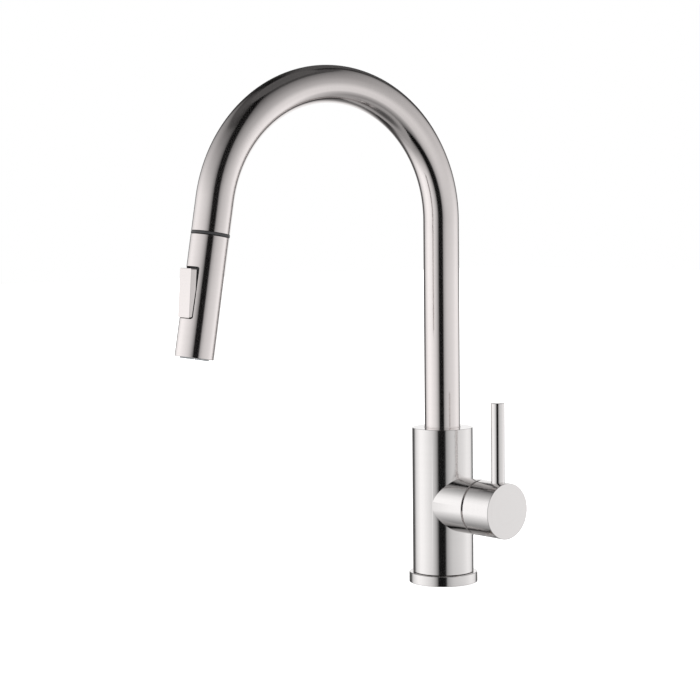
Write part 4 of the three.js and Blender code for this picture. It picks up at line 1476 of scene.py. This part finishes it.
# ------------------------------------------------------------------------------- studio
# Brightness of the light screen by direction, in degrees from the camera, positive to its right.
PANELS = (
    (-180, 1.0), (-167, 0.95), (-157, 0.40), (-150, 0.08), (-137, 0.08), (-129, 0.30), (-122, 0.75),
    (-108, 1.00), (-92, 1.19), (-78, 1.16), (-56, 0.98), (-42, 0.84), (-32, 0.66), (-24, 0.42), (-18, 0.20),
    (-16, 0.006), (7, 0.006), (11, 0.08), (13, 0.38), (24, 0.60), (36, 0.73), (60, 0.82), (78, 0.89),
    (104, 1.07), (120, 1.02), (132, 0.85), (140, 0.35), (145, 0.08), (152, 0.10), (159, 0.8), (164, 1.0),
)
# Brightness by height in metres, for the screen's left and right halves and for its back.
FALL_LEFT = (
    (-0.6, 0.40), (-0.28, 0.75), (-0.12, 0.99), (0.25, 1.0), (0.42, 0.86), (0.60, 0.57), (0.85, 0.31),
    (1.05, 0.16), (1.14, 0.07),
)
FALL_RIGHT = (
    (-0.6, 0.36), (-0.28, 0.62), (-0.12, 0.97), (0.2, 1.0), (0.32, 0.86), (0.46, 0.66), (0.85, 0.42),
    (1.5, 0.18), (1.6, 0.07),
)
FALL_BACK = ((-0.8, 0.12), (-0.4, 0.25), (-0.1, 0.8), (0.0, 1.0), (0.46, 1.0), (0.52, 0.08))
# Where the right half takes over from the left, and where the back does, in turns from the back.
TO_RIGHT = ((0.5, 0.0), (0.53, 1.0))
TO_BACK = ((0.06, 1.0), (0.09, 0.0), (0.91, 0.0), (0.94, 1.0))
# Brightness above and below the screen, by elevation in degrees.
CEILING = (
    (-90, 0.08), (-80, 0.12), (-72, 0.35), (-40, 0.45), (0, 0.5), (40, 0.2), (60, 0.10), (90, 0.09),
)


@dataclass(frozen=True)
class Studio:
    """Camera, pale floor and a soft wrap-round light with a dark gap where the camera stands."""

    azimuth: float = math.radians(46.59)
    distance: float = 1.45012
    height: float = 0.28934
    yaw: float = math.radians(-2.845)
    pitch: float = math.radians(4.19)
    roll: float = math.radians(-0.59)
    lens: float = 95.36
    screen_radius: float = 0.70

    def build(self) -> None:
        """Builds the camera, the floor and the light."""
        self.camera()
        self.floor()
        self.screen()
        self.light()
        bpy.context.scene.view_settings.view_transform = "Standard"

    def camera(self) -> None:
        """Sets the camera at the faucet's front right, a little above its middle."""
        data = bpy.data.cameras.new("camera")
        data.lens = self.lens
        data.sensor_width = 36.0
        camera = bpy.data.objects.new("camera", data)
        place = Matrix.Translation((
            self.distance * math.sin(self.azimuth), -self.distance * math.cos(self.azimuth), self.height,
        ))
        aim = (
            Matrix.Rotation(self.azimuth - self.yaw, 4, "Z")
            @ Matrix.Rotation(math.pi / 2 - self.pitch, 4, "X")
            @ Matrix.Rotation(self.roll, 4, "Z")
        )
        camera.matrix_world = place @ aim
        bpy.context.scene.collection.objects.link(camera)
        bpy.context.scene.camera = camera

    def floor(self) -> None:
        """A white floor with a soft contact shadow. Metal doesn't mirror it, the screens stand in for it."""
        half, level = 6.0, -0.0004
        corners = [(x * half, y * half, level) for x, y in ((-1, -1), (1, -1), (1, 1), (-1, 1))]
        floor = mesh_object("floor", corners, [[0, 1, 2, 3]])
        material, _, shader = new_material("white_floor")
        for socket, value in (
            ("Base Color", (0.9, 0.9, 0.9, 1.0)), ("Roughness", 0.9), ("Specular IOR Level", 0.0),
            ("Emission Color", (1.0, 1.0, 1.0, 1.0)), ("Emission Strength", 0.78),
        ):
            shader.inputs[socket].default_value = value
        floor.data.materials.append(material)
        floor.visible_glossy = False

    def screen(self) -> None:
        """Round screen of light panels, seen only in reflections, with a dark gap round the camera."""
        steps, low, high = 240, -0.9, 2.2
        turns = [2 * math.pi * k / steps for k in range(steps)]
        radius = self.screen_radius
        vertices = [(radius * math.cos(a), radius * math.sin(a), z) for z in (low, high) for a in turns]
        faces = [[k, (k + 1) % steps, steps + (k + 1) % steps, steps + k] for k in range(steps)]
        screen = mesh_object("light_screen", vertices, faces)
        material = bpy.data.materials.new("light_screen")
        graph = empty_graph(material)
        x, y, z = graph.split(graph.value("ShaderNodeTexCoord", "Object"))
        front_x, front_y = math.sin(self.azimuth), -math.cos(self.azimuth)
        toward = x * front_x + y * front_y
        right = y * front_x - x * front_y
        turn = right.math("ARCTAN2", toward) / (2 * math.pi) + 0.5
        panels = graph.ramp(turn, [(deg / 360 + 0.5, shade) for deg, shade in PANELS])
        rise = (z - low) / (high - low)
        left_fall, right_fall, back_fall = (
            graph.ramp(rise, [((height - low) / (high - low), shade) for height, shade in fall])
            for fall in (FALL_LEFT, FALL_RIGHT, FALL_BACK)
        )
        side, back = graph.ramp(turn, TO_RIGHT), graph.ramp(turn, TO_BACK)
        fall = left_fall * (1.0 - side) + right_fall * side
        fall = fall * (1.0 - back) + back_fall * back
        glow = graph.node("ShaderNodeEmission", None, Color=(1.0, 1.0, 1.0, 1.0), Strength=panels * fall)
        graph.link(Value(graph.tree, glow.outputs[0]), graph.node("ShaderNodeOutputMaterial"), "Surface")
        screen.data.materials.append(material)
        screen.visible_camera = screen.visible_shadow = screen.visible_diffuse = False

    def light(self) -> None:
        """World light: white for the eye and for soft light, darker above and below in reflections."""
        world = bpy.data.worlds.new("studio")
        bpy.context.scene.world = world
        graph = empty_graph(world)
        z = graph.split(graph.value("ShaderNodeTexCoord", "Generated"))[2]
        rise = z.math("ARCSINE") / math.pi + 0.5
        shade = graph.ramp(rise, [(deg / 180 + 0.5, value) for deg, value in CEILING])
        mirrored = graph.value("ShaderNodeBackground", 0, None, Strength=1.0, Color=shade)
        white = graph.value("ShaderNodeBackground", 0, None, Color=(1.0, 1.0, 1.0, 1.0), Strength=1.0)
        pick = graph.node("ShaderNodeMixShader")
        glossy = graph.value("ShaderNodeLightPath", "Is Glossy Ray")
        for socket, value in enumerate((glossy, white, mirrored)):
            graph.link(value, pick, socket)
        graph.link(Value(graph.tree, pick.outputs[0]), graph.node("ShaderNodeOutputWorld"), "Surface")


def dress_frame_nodes(shown: dict) -> None:
    """Gives every CAD node that stays a finish in its own slot, with the grain read from its place.

    Args:
        shown: The record's slot of each node.
    """
    for name, node in frame["nodes"].items():
        if node.hide_render:
            continue
        node.data.materials.clear()
        look = "hose_cover" if Slot(shown[name]) is Slot.BRAID else SLOT_FINISH[Slot(shown[name])]
        node.data.materials.append(placed_finish(look))


def main() -> None:
    """Builds the faucet in order and reports each piece."""
    logging.basicConfig(level=logging.INFO, format="%(name)s: %(message)s")
    Studio().build()
    layout = Layout.from_frame()
    bench = Bench()
    tubes = path_tube_tree()
    Column(layout, bench).build()
    Lever(layout, bench).build()
    Gooseneck(layout, bench, tubes).build()
    SprayHead(layout, bench, round_array_tree(), gauze_tree()).build()
    UnderDeck(layout, bench, helix_tree()).build()
    dress_frame_nodes({row["node"]: row["material_slot"] for row in frame["record"]["subparts"]})
    LOG.info("%d pieces made", len(bench.made))


if __name__ == "__main__":
    main()
